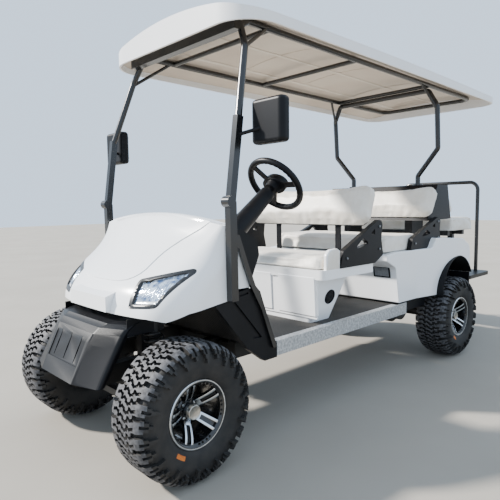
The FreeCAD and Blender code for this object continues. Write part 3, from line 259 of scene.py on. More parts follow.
# Tyres: 22 inch off road tyres in moulded black rubber. Big shoulder lugs in two shapes take turns
# round each side, with four rows of bent blocks between them. The sidewall is plain, and one
# painted orange bar marks the light spot by the rim.
tyre_r = 0.285
lug_h = 0.017
pitches = 28
per_pitch = 10
centre_half_w = 0.059
# Grooves along the tread, and where the shoulder lugs start, as distances from the middle.
middle_groove, row_groove, shoulder_x = 0.0065, (0.0255, 0.038), 0.0695
front_axle_y, rear_axle_y = -1.535, 0.832
wheel_places = (("front_left", 0.473, front_axle_y), ("front_right", -0.473, front_axle_y),
                ("rear_left", 0.513, rear_axle_y), ("rear_right", -0.513, rear_axle_y))
# Half the carcass from the bead to the middle of the tread, as (x, radius).
half = [(0.090, 0.127), (0.090, 0.139), (0.099, 0.147), (0.105, 0.160), (0.109, 0.177),
        (0.1115, 0.195), (0.1120, 0.208), (0.1095, 0.224), (0.1045, 0.238), (0.0970, 0.251),
        (0.0870, 0.2600), (0.0785, 0.2645), (0.0695, 0.2660), (0.0590, 0.2675), (0.0480, 0.2680),
        (0.0380, 0.2680), (0.0255, 0.2680), (0.0165, 0.2680), (0.0065, 0.2680)]
# How far each ring of points is turned to bend the blocks, in steps of 1.1 times a step of the tread.
bent = {0.0480: 1.0, 0.0165: -1.0, 0.0590: -0.3, 0.0065: 0.3, 0.0785: 0.25, 0.0870: 0.4}
# Bands of the shoulder as (radius from, to, x from, to), and the steps each kind of lug covers there.
bands = ((0.2620, 0.2665, 0.0695, 0.092), (0.2520, 0.2620, 0.083, 0.099), (0.2400, 0.2520, 0.09, 0.107),
         (0.2250, 0.2400, 0.09, 0.112), (0.2130, 0.2250, 0.09, 0.113))
round_lug = ((1, 7), (0, 7), (1, 6), (3, 4), None)
long_lug = ((1, 7), (1, 7), (2, 6), (3, 5), (3, 4))
# Edges of the lugs, and the sunk middle of the shoulder lugs: its rim and its depth.
lug_edge, dimple_edge, dimple_depth = 0.0014, 0.002, 0.010
# Middle of the orange bar, as an angle round the axle, and the bar's radii and half length.
mark_at = math.atan2(-0.150, -0.109)
mark_r, mark_half = (0.160, 0.177), 0.024

# Moulded tyre rubber: near black and dull, with a trace of brown dust.
rubber, kit = finish("off_road_tyre_rubber", "#161617", 0.72, ior=1.52)
mottle(kit, "#111112", "#2C2926", 50)
grain(kit, 3, 0.3)
# The same rubber where it meets the road: grey partly from dust and partly as a painted highlight of the
# light on the lug tops. It is drawn in specks larger than the real ones, which don't show.
tread_dust_and_highlight, kit = finish("tread_rubber_dust_and_painted_highlight", "#3C3C3F", 0.7, ior=1.52)
mottle(kit, "#252528", "#58585B", 14, 1.3)
grain(kit, 3, 0.3)
# Marking paint: flat orange, dabbed on unevenly.
orange_paint, kit = finish("orange_balance_paint", "#C9691E", 0.6)
mottle(kit, "#A8541A", "#E07E2A", 6)


def lathe(name, profile, steps, middle=(0, 0, 0)):
    """A closed ring turned about X from (x, radius) points, listed round its section."""
    piece = start("plane", name, size=0.001)
    choose(piece, "VERT", lambda c, n: True)
    bpy.ops.mesh.merge(type="CENTER")
    x, r = profile[0]
    bpy.ops.transform.translate(value=(x, 0, r))
    for a, b in zip(profile, profile[1:] + profile[:1]):
        bpy.ops.mesh.extrude_region_move(TRANSFORM_OT_translate={"value": (b[0] - a[0], 0, b[1] - a[1])})
    bpy.ops.mesh.select_all(action="SELECT")
    bpy.ops.mesh.remove_doubles(threshold=0.00001)
    bpy.ops.mesh.spin(steps=steps, angle=math.tau, center=(0, 0, 0), axis=(1, 0, 0))
    bpy.ops.mesh.select_all(action="SELECT")
    bpy.ops.mesh.remove_doubles(threshold=0.00001)
    bpy.ops.mesh.normals_make_consistent(inside=False)
    bpy.ops.object.mode_set(mode="OBJECT")
    piece.data.transform(Matrix.Translation(middle))
    return piece


def tread_step(c):
    """How many steps round the tyre a face lies. The right side is half a pitch ahead."""
    step = int((math.atan2(c.z, c.y) % math.tau) / math.tau * pitches * per_pitch)
    return step + per_pitch // 2 if c.x < 0 else step


def is_lug(c, n):
    """Faces of the tread that stand up as lugs or blocks."""
    r = math.hypot(c.y, c.z)
    x = abs(c.x)
    if r < bands[-1][0]:
        return False
    if x < centre_half_w:
        if x < middle_groove or row_groove[0] <= x <= row_groove[1]:
            return False
        shift = (0 if x < row_groove[0] else 2) + (3 if c.x < 0 else 0)
        return (tread_step(c) + shift) % 5 < 3
    if x < shoulder_x:
        return False
    pitch, at = divmod(tread_step(c), per_pitch)
    for (low, high, x0, x1), run in zip(bands, round_lug if pitch % 2 else long_lug):
        if low <= r < high and x0 <= x <= x1 and run:
            return run[0] <= at <= run[1]
    return False


def is_dimple(c, n):
    """The middle of each shoulder lug's face, which is sunk."""
    if abs(c.x) < 0.094 or not 0.250 < math.hypot(c.y, c.z) < 0.270:
        return False
    pitch, at = divmod(tread_step(c), per_pitch)
    return at in (3, 4) if pitch % 2 else at in (4, 5)


section = half + [(-x, r) for x, r in reversed(half)]
tyre = lathe("tyre_front_left_rubber", section, pitches * per_pitch)
for point in tyre.data.vertices:
    x, y, z = point.co
    if math.hypot(y, z) > 0.26:
        for ring_x, share in bent.items():
            if abs(abs(x) - ring_x) < 0.0005:
                turn = math.copysign(share, x) * math.tau / pitches / per_pitch * 1.1
                c, s = math.cos(turn), math.sin(turn)
                point.co = (x, y * c - z * s, y * s + z * c)
choose(tyre, "FACE", is_lug)
# Where two blocks face each other over a groove, all corners between them are chosen, and they join.
bpy.ops.mesh.select_mode(type="VERT")
bpy.ops.mesh.select_mode(type="FACE")
bpy.ops.mesh.extrude_region_shrink_fatten(TRANSFORM_OT_shrink_fatten={"value": lug_h})
# Each lug gets a narrow rounding edge, and each shoulder lug a sunk middle.
bpy.ops.mesh.inset(thickness=lug_edge, depth=0.0, use_boundary=True, use_even_offset=True)
choose(tyre, "FACE", is_dimple)
bpy.ops.mesh.inset(thickness=dimple_edge, depth=-dimple_depth)
bpy.ops.object.mode_set(mode="OBJECT")
for made in (rubber, orange_paint, tread_dust_and_highlight):
    tyre.data.materials.append(made)
for face in tyre.data.polygons:
    c = face.center
    r = math.hypot(c.y, c.z)
    off = (math.atan2(c.z, c.y) - mark_at + math.pi) % math.tau - math.pi
    face.material_index = int(c.x > 0.1 and mark_r[0] < r < mark_r[1] and abs(off) * r < mark_half)
    # Only the tops of the lugs and blocks, which meet the road, get the grey rubber: partly dust, and partly
    # a painted highlight where the light falls on the tops.
    outward = face.normal.dot(Vector((0, c.y, c.z)).normalized())
    if r > 0.262 and outward > 0.5 and r > 0.2755 - 0.9 * max(0, abs(c.x) - 0.08):
        face.material_index = 2

# Rims: cast aluminium in gloss black, with the spoke faces and the lip turned bright on a lathe.
# Five split spokes run from the bolt ring to the lip. Four nuts hold the rim, round a silver cap.
spokes = 5
spoke_turn = math.radians(14)
spoke_mid, spoke_size, spoke_root_r = (0.083, 0, 0.078), (0.020, 0.040, 0.092), 0.032
# The slot that splits each spoke: its half width, the radius it starts at and its depth.
slot_half_w, slot_from_r, slot_depth = 0.0085, 0.055, 0.013
# Notches in the lip, in degrees from the middle between two spokes.
notch_ways = (-13, -5, 5, 13)
notch_place, notch_r, notch_depth = (0.0925, 0, 0.1225), 0.0042, 0.006
nuts, nut_place, nut_r, nut_depth = 4, (0.0290, 0, 0.0390), 0.008, 0.012
cap_place, cap_r, cap_depth = (0.0600, 0, 0), 0.0300, 0.022
lip_profile = [(-0.098, 0.120), (-0.098, 0.140), (-0.090, 0.140), (-0.090, 0.127), (0.088, 0.127),
               (0.090, 0.1385), (0.0955, 0.1405), (0.0985, 0.138), (0.0985, 0.133), (0.0955, 0.1265),
               (0.090, 0.1225), (0.086, 0.119), (0.060, 0.117), (0.030, 0.120)]
hub_profile = [(0.000, 0.018), (0.000, 0.072), (0.014, 0.072), (0.018, 0.058), (0.026, 0.052), (0.028, 0.046),
               (0.028, 0.0300), (0.056, 0.0280), (0.056, 0.018)]

# Gloss black wheel lacquer: deep black under a clear coat, with sharp highlights.
rim_black, kit = finish("gloss_black_cast_rim", "#0D0E10", 0.22, coat_weight=0.5)
mottle(kit, "#0A0B0C", "#17181A", 30)
grain(kit, 4, 0.05)
# Turned aluminium: bright, with rings from the lathe. They are drawn about 1.7 mm apart, as the
# real ones are too fine to show.
rim_bright, kit = finish("turned_aluminium_face", "#D6D9DD", 0.2, metallic=1.0)
mottle(kit, "#C3C7CC", "#E6E9EC", 20)
tree, shader, place = kit
turned = add(tree, "TexWave", {"wave_type": "RINGS", "rings_direction": "X", "Scale": 190.0},
             {"Vector": (place, "Object")})
cut = add(tree, "Bump", {"Strength": 0.5, "Distance": 0.00008}, {"Height": (turned, "Fac")})
tree.links.new(cut.outputs["Normal"], shader.inputs["Normal"])
# Brushed cap: pressed metal with a warm silver cast.
cap_silver, kit = finish("brushed_silver_cap", "#B9B4AA", 0.32, metallic=1.0)
mottle(kit, "#A39E95", "#CBC7BE", 10)
grain(kit, 1.5, 0.06)


def soften(piece, width, steps=2, angle=30):
    """Rounds the edges sharper than the angle."""
    edge = piece.modifiers.new("edges", "BEVEL")
    edge.width = width
    edge.segments = steps
    edge.angle_limit = math.radians(angle)
    bpy.context.view_layer.objects.active = piece
    bpy.ops.object.modifier_apply(modifier=edge.name)


def joined(parts):
    """Joins the parts into the first one."""
    bpy.ops.object.select_all(action="DESELECT")
    for part in parts:
        part.select_set(True)
    bpy.context.view_layer.objects.active = parts[0]
    bpy.ops.object.join()
    return parts[0]


rim = lathe("rim_front_left_cast", lip_profile, 96)
for made in (rim_black, rim_bright, cap_silver):
    rim.data.materials.append(made)
for face in rim.data.polygons:
    face.material_index = int(face.center.x > 0.0905 and 0.1345 < math.hypot(face.center.y, face.center.z))
parts = [rim]
spoke = start("cube", "spoke", size=1, location=spoke_mid, scale=spoke_size)
choose(spoke, "FACE", lambda c, n: True)
bpy.ops.mesh.subdivide(number_cuts=7)
choose(spoke, "FACE", lambda c, n: n.x > 0.7 and abs(c.y) < slot_half_w and c.z > slot_from_r)
bpy.ops.mesh.extrude_region_shrink_fatten(TRANSFORM_OT_shrink_fatten={"value": -slot_depth})
bpy.ops.object.mode_set(mode="OBJECT")
spoke.data.materials.append(rim_black)
spoke.data.materials.append(rim_bright)
for face in spoke.data.polygons:
    face.material_index = int(face.normal.x > 0.8 and face.center.x > 0.09)
# Each spoke is broader towards the lip, and its root is dished inwards.
for point in spoke.data.vertices:
    share = (point.co.z - spoke_root_r) / spoke_size[2]
    point.co.y *= 0.86 + 0.26 * share
    point.co.x -= 0.004 + 0.058 * (1 - share) ** 1.4
soften(spoke, 0.0008, 2, 50)
for k in range(spokes):
    one = spoke.copy()
    one.data = spoke.data.copy()
    bpy.context.scene.collection.objects.link(one)
    one.data.transform(Matrix.Rotation(math.tau * k / spokes + spoke_turn, 4, "X"))
    parts.append(one)
    for way in notch_ways:
        notch = start("cylinder", "lip_notch", vertices=8, radius=notch_r, depth=notch_depth,
                      location=notch_place, rotation=(0, math.pi / 2, 0))
        notch.data.materials.append(rim_black)
        turn = math.tau * (k + 0.5) / spokes + spoke_turn + math.radians(way)
        notch.data.transform(Matrix.Rotation(turn, 4, "X"))
        parts.append(notch)
bpy.data.objects.remove(spoke)
hub = lathe("hub", hub_profile, 64)
hub.data.materials.append(rim_black)
parts.append(hub)
for k in range(nuts):
    nut = start("cylinder", "lug_nut", vertices=6, radius=nut_r, depth=nut_depth, location=nut_place,
                rotation=(0, math.pi / 2, 0))
    soften(nut, 0.001, 1)
    nut.data.materials.append(rim_bright)
    nut.data.transform(Matrix.Rotation(math.tau * (k + 0.5) / nuts, 4, "X"))
    parts.append(nut)
cap = start("cylinder", "cap", vertices=48, radius=cap_r, depth=cap_depth, location=cap_place,
            rotation=(0, math.pi / 2, 0))
soften(cap, 0.003, 3)
choose(cap, "FACE", lambda c, n: n.x > 0.99 and abs(c.y) < 0.01 and abs(c.z) < 0.01)
bpy.ops.mesh.inset(thickness=0.006, depth=-0.0025)
bpy.ops.object.mode_set(mode="OBJECT")
cap.data.materials.append(cap_silver)
parts.append(cap)
joined(parts)

# Tyre and rim are made once, for a left wheel, and mirrored for the right ones.
for corner, x, y in wheel_places:
    for kind, model in (("tyre", tyre), ("rim", rim)):
        one = model.copy()
        one.data = model.data.copy()
        one.name = kind + "_" + corner + "_detail"
        bpy.context.scene.collection.objects.link(one)
        side = math.copysign(1, x)
        one.data.transform(Matrix.Translation((x, y, tyre_r)) @ Matrix.Diagonal((side, 1, 1, 1)))
        if side < 0:
            one.data.flip_normals()
        done(one, "wheel_" + corner, rubber)
        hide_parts(kind + "_" + corner)
bpy.data.objects.remove(tyre)
bpy.data.objects.remove(rim)

# Floor: a steel pan covered with black rubber matting, glued down. It has fine ribs from front to
# back, and feet have walked it grey in the middle.
rib_pitch = 0.016
# About how many waves the wave texture draws in a metre at scale 1.
waves_per_m = 3.1

# Ribbed floor rubber: dull black, dusty between the ribs. The ribs are drawn 16 mm apart, as the
# real ones of 5 mm don't show.
mat_rubber, kit = finish("ribbed_floor_rubber", "#232324", 0.75)
mottle(kit, "#1E1E1F", "#3A3733", 160)
tree, shader, place = kit
ribs = add(tree, "TexWave", {"bands_direction": "X", "Scale": 1 / rib_pitch / waves_per_m},
           {"Vector": (place, "Object")})
ridge = add(tree, "Bump", {"Strength": 1.0, "Distance": 0.0012}, {"Height": (ribs, "Fac")})
grain(kit, 2, 0.2, ridge)
coat(mat_rubber, "floor")

# Rockers: strips of aluminium tread plate, folded over both sills and riveted. Boots have scuffed
# them bright and pitted them.

# Scuffed tread plate: a pale metal with a fine broken sparkle from scratches and pits.
strip_metal, kit = finish("scuffed_aluminium_strip", "#C4C7CA", 0.4, metallic=0.8)
mottle(kit, "#A2A6AA", "#DCDFE2", 12, 1.3)
grain(kit, 3.5, 0.6, grain(kit, 30, 0.8))
coat(strip_metal, "rockers")

# Body: cowl, nose panel, seat base and rear body are vacuum formed from thick plastic sheet and
# bolted down. Their corners are round, as the hot sheet can't be drawn sharp.

# Gloss white sheet: even and glassy, with a faint long ripple from the forming.
body_white, kit = finish("gloss_white_body_plastic", "#F6F7F9", 0.16, ior=1.5, coat_weight=0.5,
                         coat_roughness=0.06)
mottle(kit, "#F3F5F7", "#F9FAFB", 500)
grain(kit, 6, 0.04, grain(kit, 180, 0.6))
coat(body_white, "cowl", "nose_panel", "front_pod", "rear_body")

# Hood: the cowl's top is one raised field that sweeps back from the nose and dies out by the struts.
# It is part of the white forming, and its rounded step catches a thin line of shade.
hood_columns = 36
hood_above = 1.3
hood_stand = 0.0038
hood_step = (0, 0.004, -0.0075)
# Edge of the field, as (distance behind the front axle, half width).
hood_half = ((-0.099, 0.004), (-0.098, 0.050), (-0.095, 0.100), (-0.088, 0.150), (-0.076, 0.189),
             (-0.060, 0.217), (-0.040, 0.236), (-0.015, 0.245), (0.014, 0.245), (0.045, 0.247),
             (0.073, 0.255), (0.100, 0.273), (0.131, 0.305), (0.155, 0.340), (0.178, 0.380),
             (0.200, 0.420), (0.220, 0.452), (0.240, 0.474))


def pressed_on(piece, node, way, off):
    """Lays the points of a piece on a CAD node, seen along the way, at that distance off it."""
    if piece.mode != "OBJECT":
        bpy.ops.object.mode_set(mode="OBJECT")
    for point in piece.data.vertices:
        found, spot, normal, face = nodes[node].ray_cast(point.co, Vector(way))
        if found:
            point.co = spot + normal * off


hood = start("grid", "hood_field", x_subdivisions=hood_columns, y_subdivisions=len(hood_half) - 1, size=1)
for k, point in enumerate(hood.data.vertices):
    row, column = divmod(k, hood_columns + 1)
    y, half_w = hood_half[row]
    point.co = (half_w * (column / (hood_columns / 2) - 1), y + front_axle_y, hood_above)
pressed_on(hood, "cowl", (0, 0, -1), hood_stand)
choose(hood, "EDGE", lambda c, d: True)
bpy.ops.mesh.normals_make_consistent(inside=False)
bpy.ops.mesh.select_all(action="DESELECT")
bpy.ops.mesh.select_non_manifold()
bpy.ops.mesh.extrude_edges_move(TRANSFORM_OT_translate={"value": hood_step})
done(hood, "cart", body_white, 50)

# Headlamps: each is a black moulded bezel, clipped into the cowl, with a clear fluted lens sunk in it.
# A white reflector strip runs along the foot of the lens.
# Corners of the lens as (x, z), and the top edge of the strip: its height at the middle, and its slope.
lens_edge = ((0.2885, 0.7860), (0.3000, 0.7060), (0.4080, 0.7170), (0.4560, 0.8330))
strip_top = 0.6865
strip_slope = 0.1
flute_pitch = 0.009

# Moulded bezel: satin black, smoother than the trim beside it.
bezel_black, kit = finish("satin_black_lamp_bezel", "#1B1C1F", 0.3, ior=1.5)
mottle(kit, "#151618", "#26272A", 30)
grain(kit, 2, 0.08)
# Polycarbonate lens over its reflector: its sky blue and white broken flakes are a painted reflection of the
# sky, put into its colour.
lens_painted_reflection, kit = finish("fluted_lens_painted_reflection", "#7F9CC2", 0.1, ior=1.58, coat_weight=0.8, metallic=0.35)
mottle(kit, "#46618C", "#D2E2F5", 22, 1.5)
tree, shader, place = kit
flutes = add(tree, "TexWave", {"bands_direction": "X", "Scale": 1 / flute_pitch / waves_per_m},
             {"Vector": (place, "Object")})
flute = add(tree, "Bump", {"Strength": 1.0, "Distance": 0.0014}, {"Height": (flutes, "Fac")})
grain(kit, 12, 1.2, flute)
# Reflector strip: white plastic with a silvery gloss.
strip_white, kit = finish("white_reflector_strip", "#E4E8EC", 0.25, metallic=0.3)
mottle(kit, "#C9CFD6", "#F4F6F8", 20)


def copied(name, label, apart=0.00005):
    """A copy of a CAD node, in edit mode, with its loose triangles merged."""
    bpy.ops.object.select_all(action="DESELECT")
    piece = nodes[name].copy()
    piece.data = nodes[name].data.copy()
    piece.name = label
    piece.parent = None
    for key in list(piece.keys()):
        del piece[key]
    bpy.context.scene.collection.objects.link(piece)
    piece.select_set(True)
    bpy.context.view_layer.objects.active = piece
    for spot in piece.material_slots:
        spot.link = "DATA"
    piece.data.materials.clear()
    choose(piece, "VERT", lambda c, n: True)
    bpy.ops.mesh.select_all(action="SELECT")
    bpy.ops.mesh.remove_doubles(threshold=apart)
    return piece


def in_lens(c, n):
    """True for a face within the lens that looks forwards."""
    x, z = abs(c.x), c.z
    sides = [(bx - ax) * (z - az) - (bz - az) * (x - ax)
             for (ax, az), (bx, bz) in zip(lens_edge, lens_edge[1:] + lens_edge[:1])]
    return all(side > 0 for side in sides) and n.y < -0.2


lamps = copied("headlamps", "headlamps_glazed")
for side in (-1, 1):
    choose(lamps, "FACE", lambda c, n: in_lens(c, n) and c.x * side > 0)
    bpy.ops.mesh.bisect(plane_co=(0, 0, strip_top), plane_no=(-strip_slope * side, 0, 1))
bpy.ops.object.mode_set(mode="OBJECT")
for made in (bezel_black, lens_painted_reflection, strip_white):
    lamps.data.materials.append(made)
# Faces within the lens, above the strip, get the lens colour with its painted reflection.
for face in lamps.data.polygons:
    face.material_index = 0
    if in_lens(face.center, face.normal):
        face.material_index = 1 if face.center.z > strip_top + strip_slope * abs(face.center.x) else 2
done(lamps, "cart", bezel_black, 25)
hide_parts("headlamps")

# Black trim: dashboard, liners, mirrors, hip restraints and wheel are moulded in grained black
# plastic. It is coloured right through, and is held by screws and clips from behind.

# Grained black plastic: its fine pebble grain scatters the light to a soft grey sheen.
trim_black, kit = finish("grained_black_plastic", "#0C0D10", 0.4, ior=1.5, specular_ior_level=0.2)
mottle(kit, "#090A0D", "#111216", 100)
grain(kit, 2.2, 0.2)
coat(trim_black, "dash", "kick_panels", "rear_liner", "mirrors", "pedals", "steering_column",
     "steering_wheel", "seat_backing", "seat_shell", "footplate", "side_rails")

# Bumper: one moulded scoop of the same black plastic, bolted to the nose of the frame.
# Its edges are softly rounded by the mould.
scoop = copied("bumper", "bumper_moulding")
bpy.ops.mesh.dissolve_limited(angle_limit=math.radians(0.6))
bpy.ops.object.mode_set(mode="OBJECT")
soften(scoop, 0.009, 4, 9)
done(scoop, "cart", trim_black, 30)
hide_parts("bumper")

# Splash panels: flat black plastic sheets close the gap between the bumper and the towers.
# Each has a sunk field, and is screwed to the frame.
splash_place, splash_size = (0.292, -1.592, 0.611), (0.005, 0.180, 0.070)
splash_rim, splash_sunk = 0.010, 0.001
for side in (-1, 1):
    panel = start("cube", "splash_panel_" + hand[side], size=1, scale=splash_size,
                  location=(side * splash_place[0], splash_place[1], splash_place[2]))
    choose(panel, "FACE", lambda c, n: abs(n.x) > 0.9)
    bpy.ops.mesh.inset(thickness=splash_rim, depth=-splash_sunk)
    done(panel, "cart", trim_black)

# Seat base: two raised panels are formed in its front, with a wide channel between them.
# Their edges are rounded. A round cap of black plastic covers the charging socket on the left.
pod_face_y, pod_rake, pod_top_z = -0.626, 0.060, 0.72
pod_panels = (("pod_panel_left", 0.160, 0.446), ("pod_panel_right", -0.430, 0.126))
panel_mid_z, panel_h, panel_t = 0.608, 0.222, 0.014
port_place, port_lean = (0.4225, -0.483, 0.592), 0.2425
port_profile = [(-0.012, 0.0004), (-0.012, 0.043), (0.004, 0.043), (0.006, 0.041), (0.006, 0.036),
                (0.002, 0.034), (0.002, 0.030), (0.005, 0.028), (0.005, 0.012), (0.003, 0.010),
                (0.003, 0.0004)]
for name, x0, x1 in pod_panels:
    panel = start("cube", name, size=1, location=((x0 + x1) / 2, pod_face_y, panel_mid_z),
                  scale=(x1 - x0, panel_t, panel_h))
    for point in panel.data.vertices:
        point.co.y += pod_rake * (pod_top_z - point.co.z)
    choose(panel, "EDGE", lambda c, d: abs(d.y) > 0.01)
    bpy.ops.mesh.bevel(offset=0.012, segments=4)
    choose(panel, "FACE", lambda c, n: n.y < -0.9)
    bpy.ops.mesh.inset(thickness=0.006, depth=0.005)
    done(panel, "cart", body_white, 40)
port = lathe("charge_port", port_profile, 64)
port.data.transform(Matrix.Translation(port_place) @ Matrix.Rotation(port_lean, 4, "Y"))
done(port, "cart", trim_black)

# Wheel housings: a black plastic sheet follows each rear arch, inside the white skin.
# A flat wall closes its inner side against the spray.
arch_y, arch_z, arch_r = 0.8333, 0.4727, 0.2520
arch_mid_x, arch_w = 0.4950, 0.204
arch_from, arch_sweep = 105, 156
wall_place, wall_size = (0.3930, 1.010, 0.650), (0.003, 0.150, 0.170)


def thickened(piece, thickness):
    """Gives a flat sheet its thickness, half to each side."""
    sheet = piece.modifiers.new("sheet", "SOLIDIFY")
    sheet.thickness = thickness
    sheet.offset = 0
    bpy.context.view_layer.objects.active = piece
    bpy.ops.object.modifier_apply(modifier=sheet.name)
    choose(piece, "FACE", lambda c, n: True)
    bpy.ops.mesh.normals_make_consistent(inside=False)
    bpy.ops.object.mode_set(mode="OBJECT")


for side in (-1, 1):
    housing = start("grid", "arch_sheet_" + hand[side], x_subdivisions=1, y_subdivisions=24, size=1)
    for point in housing.data.vertices:
        turn = math.radians(arch_from - arch_sweep * point.co.y)
        point.co = (side * (arch_mid_x + arch_w * point.co.x), arch_y + arch_r * math.cos(turn),
                    arch_z + arch_r * math.sin(turn))
    thickened(housing, 0.003)
    done(housing, "cart", trim_black)
    wall = start("cube", "arch_wall_" + hand[side], size=1,
                 location=(side * wall_place[0], wall_place[1], wall_place[2]), scale=wall_size)
    choose(wall, "EDGE", lambda c, d: abs(d.x) > 0.001)
    bpy.ops.mesh.bevel(offset=0.020, segments=3)
    done(wall, "cart", trim_black)

# Plate: a small blank pale plate with a dark rim is stuck to the front face of the rear body.
# It is pressed from thin sheet, and follows the face.
plate_x, plate_z = 0.400, 0.668
plate_w, plate_h = 0.120, 0.068
plate_t = 0.004
field_share = 0.40

# Dark anodised rim: near black, with a metal's soft gloss.
plate_dark, kit = finish("dark_anodised_plate", "#1A1B1E", 0.4, metallic=0.6)
mottle(kit, "#141518", "#26282C", 20)
grain(kit, 2, 0.1)
# Brushed field: plain pale metal.
plate_pale, kit = finish("brushed_pale_plate", "#A9ADB2", 0.35, metallic=0.7)
mottle(kit, "#989CA2", "#BCC0C5", 15)
grain(kit, 2, 0.1)

plate = start("grid", "blank_plate", x_subdivisions=12, y_subdivisions=8, size=1)
for point in plate.data.vertices:
    point.co = (plate_x + plate_w * point.co.x, -0.2, plate_z + plate_h * point.co.y)
pressed_on(plate, "rear_body", (0, 1, 0), plate_t)
thickened(plate, plate_t)
plate.data.materials.append(plate_dark)
plate.data.materials.append(plate_pale)
for face in plate.data.polygons:
    off_x = abs(face.center.x - plate_x) / plate_w
    off_z = abs(face.center.z - plate_z) / plate_h
    face.material_index = int(max(off_x, off_z) < field_share)
done(plate, "cart", plate_dark)

# Steering wheel: a thick soft grip is moulded over its steel ring, with finger ribs behind.
# A broad black pad covers the hub and the roots of the three spokes.
wheel_mid = Vector((0.250, -0.738, 1.217))
column_down = math.radians(38.7)
ring_r, grip_r = 0.155, 0.0175
finger_ribs, finger_depth = 32, 0.0014
pad_r, pad_t, pad_out = 0.056, 0.040, 0.006
pad_wide, pad_low = 1.35, 0.95
wheel_turn = Matrix.Translation(wheel_mid) @ Matrix.Rotation(column_down - math.pi / 2, 4, "X")
grip = start("torus", "wheel_grip", major_segments=96, minor_segments=16, major_radius=ring_r,
             minor_radius=grip_r)
for point in grip.data.vertices:
    out = math.hypot(point.co.x, point.co.y)
    wave = math.cos(math.atan2(point.co.y, point.co.x) * finger_ribs)
    if out < ring_r and point.co.z < 0.004:
        point.co.z -= finger_depth * wave
grip.data.transform(wheel_turn)
done(grip, "steering_wheel_body", trim_black, 50)
# The pad is raised in its middle, wider than high, and stands 6 mm out of the ring's plane.
hub_pad = start("cylinder", "wheel_pad", vertices=48, radius=pad_r, depth=pad_t)
choose(hub_pad, "FACE", lambda c, n: n.z > 0.9)
bpy.ops.mesh.inset(thickness=0.012, depth=0.010)
bpy.ops.mesh.inset(thickness=0.010, depth=-0.003)
bpy.ops.object.mode_set(mode="OBJECT")
for point in hub_pad.data.vertices:
    point.co.x *= pad_wide
    point.co.y *= pad_low
hub_pad.data.transform(wheel_turn @ Matrix.Translation((0, 0, pad_out)))
soften(hub_pad, 0.003, 3)
done(hub_pad, "steering_wheel_body", trim_black, 50)

# Cushions and backs: upholstered foam pads in white marine vinyl, each sewn over a thin base board.
# The foam crowns the faces between the seams, and the vinyl is softly creased by use.
pads = {
    # name: body, furthest swell, shrink before it, the way its base faces
    "front_cushion": ("front_seat_lid", 0.016, 0.010, (0, 0, -1)),
    "second_cushion": ("cart", 0.018, 0.012, (0, 0, -1)),
    "rear_cushion": ("rear_seat_lid", 0.018, 0.012, (0, 0, -1)),
    "front_back": ("cart", 0.018, 0.012, (0, 1, -0.37)),
    "second_back": ("cart", 0.018, 0.012, (0, 1, -0.6)),
    "rear_back": ("cart", 0.016, 0.010, (0, -1, -0.25)),
}
leaning = {
    # foot of the front face (y, z), lean from upright in degrees
    "front_back": (-0.243, 1.000, 20.4),
    "second_back": (0.550, 1.036, 30.7),
}
# The hinge lugs behind these cushions are no foam, and are cut off here.
pad_rear = {"front_cushion": -0.260, "rear_cushion": 1.455}
voxel = 0.009
held_depth = 0.010
shrink_over = 0.03
end_seam_x = 0.395
swell_steps = 20

# Marine vinyl: warm white with a leather grain, slightly dirty where people sit.
# The soft folds are 55 mm across, and the grain is drawn at 1.6 mm, twice its real size.
vinyl, kit = finish("white_marine_vinyl", "#E9E4DA", 0.42, ior=1.5)
mottle(kit, "#DED6C9", "#F1EDE5", 110)
grain(kit, 1.6, 0.22, grain(kit, 55, 1.6))


def tailor(pad, foot_y, foot_z, lean):
    """Sews a seam into each end of a backrest, rounds its end panels and lifts the ends of its top."""
    s = math.sin(math.radians(lean))
    c = math.cos(math.radians(lean))
    back = Vector((0, c, -s))
    rise = Vector((0, s, c))
    for v in pad.data.vertices:
        # Height up the face, depth behind it, and how far the point is past the slanted end seam.
        along = (v.co.y - foot_y) * s + (v.co.z - foot_z) * c
        deep = (v.co.y - foot_y) * c - (v.co.z - foot_z) * s
        x = abs(v.co.x)
        past = x - end_seam_x - 0.25 * max(0.0, 0.1 - along)
        # The seam is 4 mm deep, and the end panel falls back by up to 22 mm.
        front = max(0.0, min(1.0, 1 - deep / 0.045))
        push = 0.004 * math.exp(-(past / 0.005) ** 2) * front
        if past > 0:
            push += front * min(0.022, 0.18 * past)
        # The top edge rises most at both ends.
        crest = max(0.0, (along - 0.10) / 0.13)
        lift = 0.020 * crest * (0.3 + 0.7 * min(1.0, (x / 0.36) ** 2))
        v.co += back * push + rise * lift


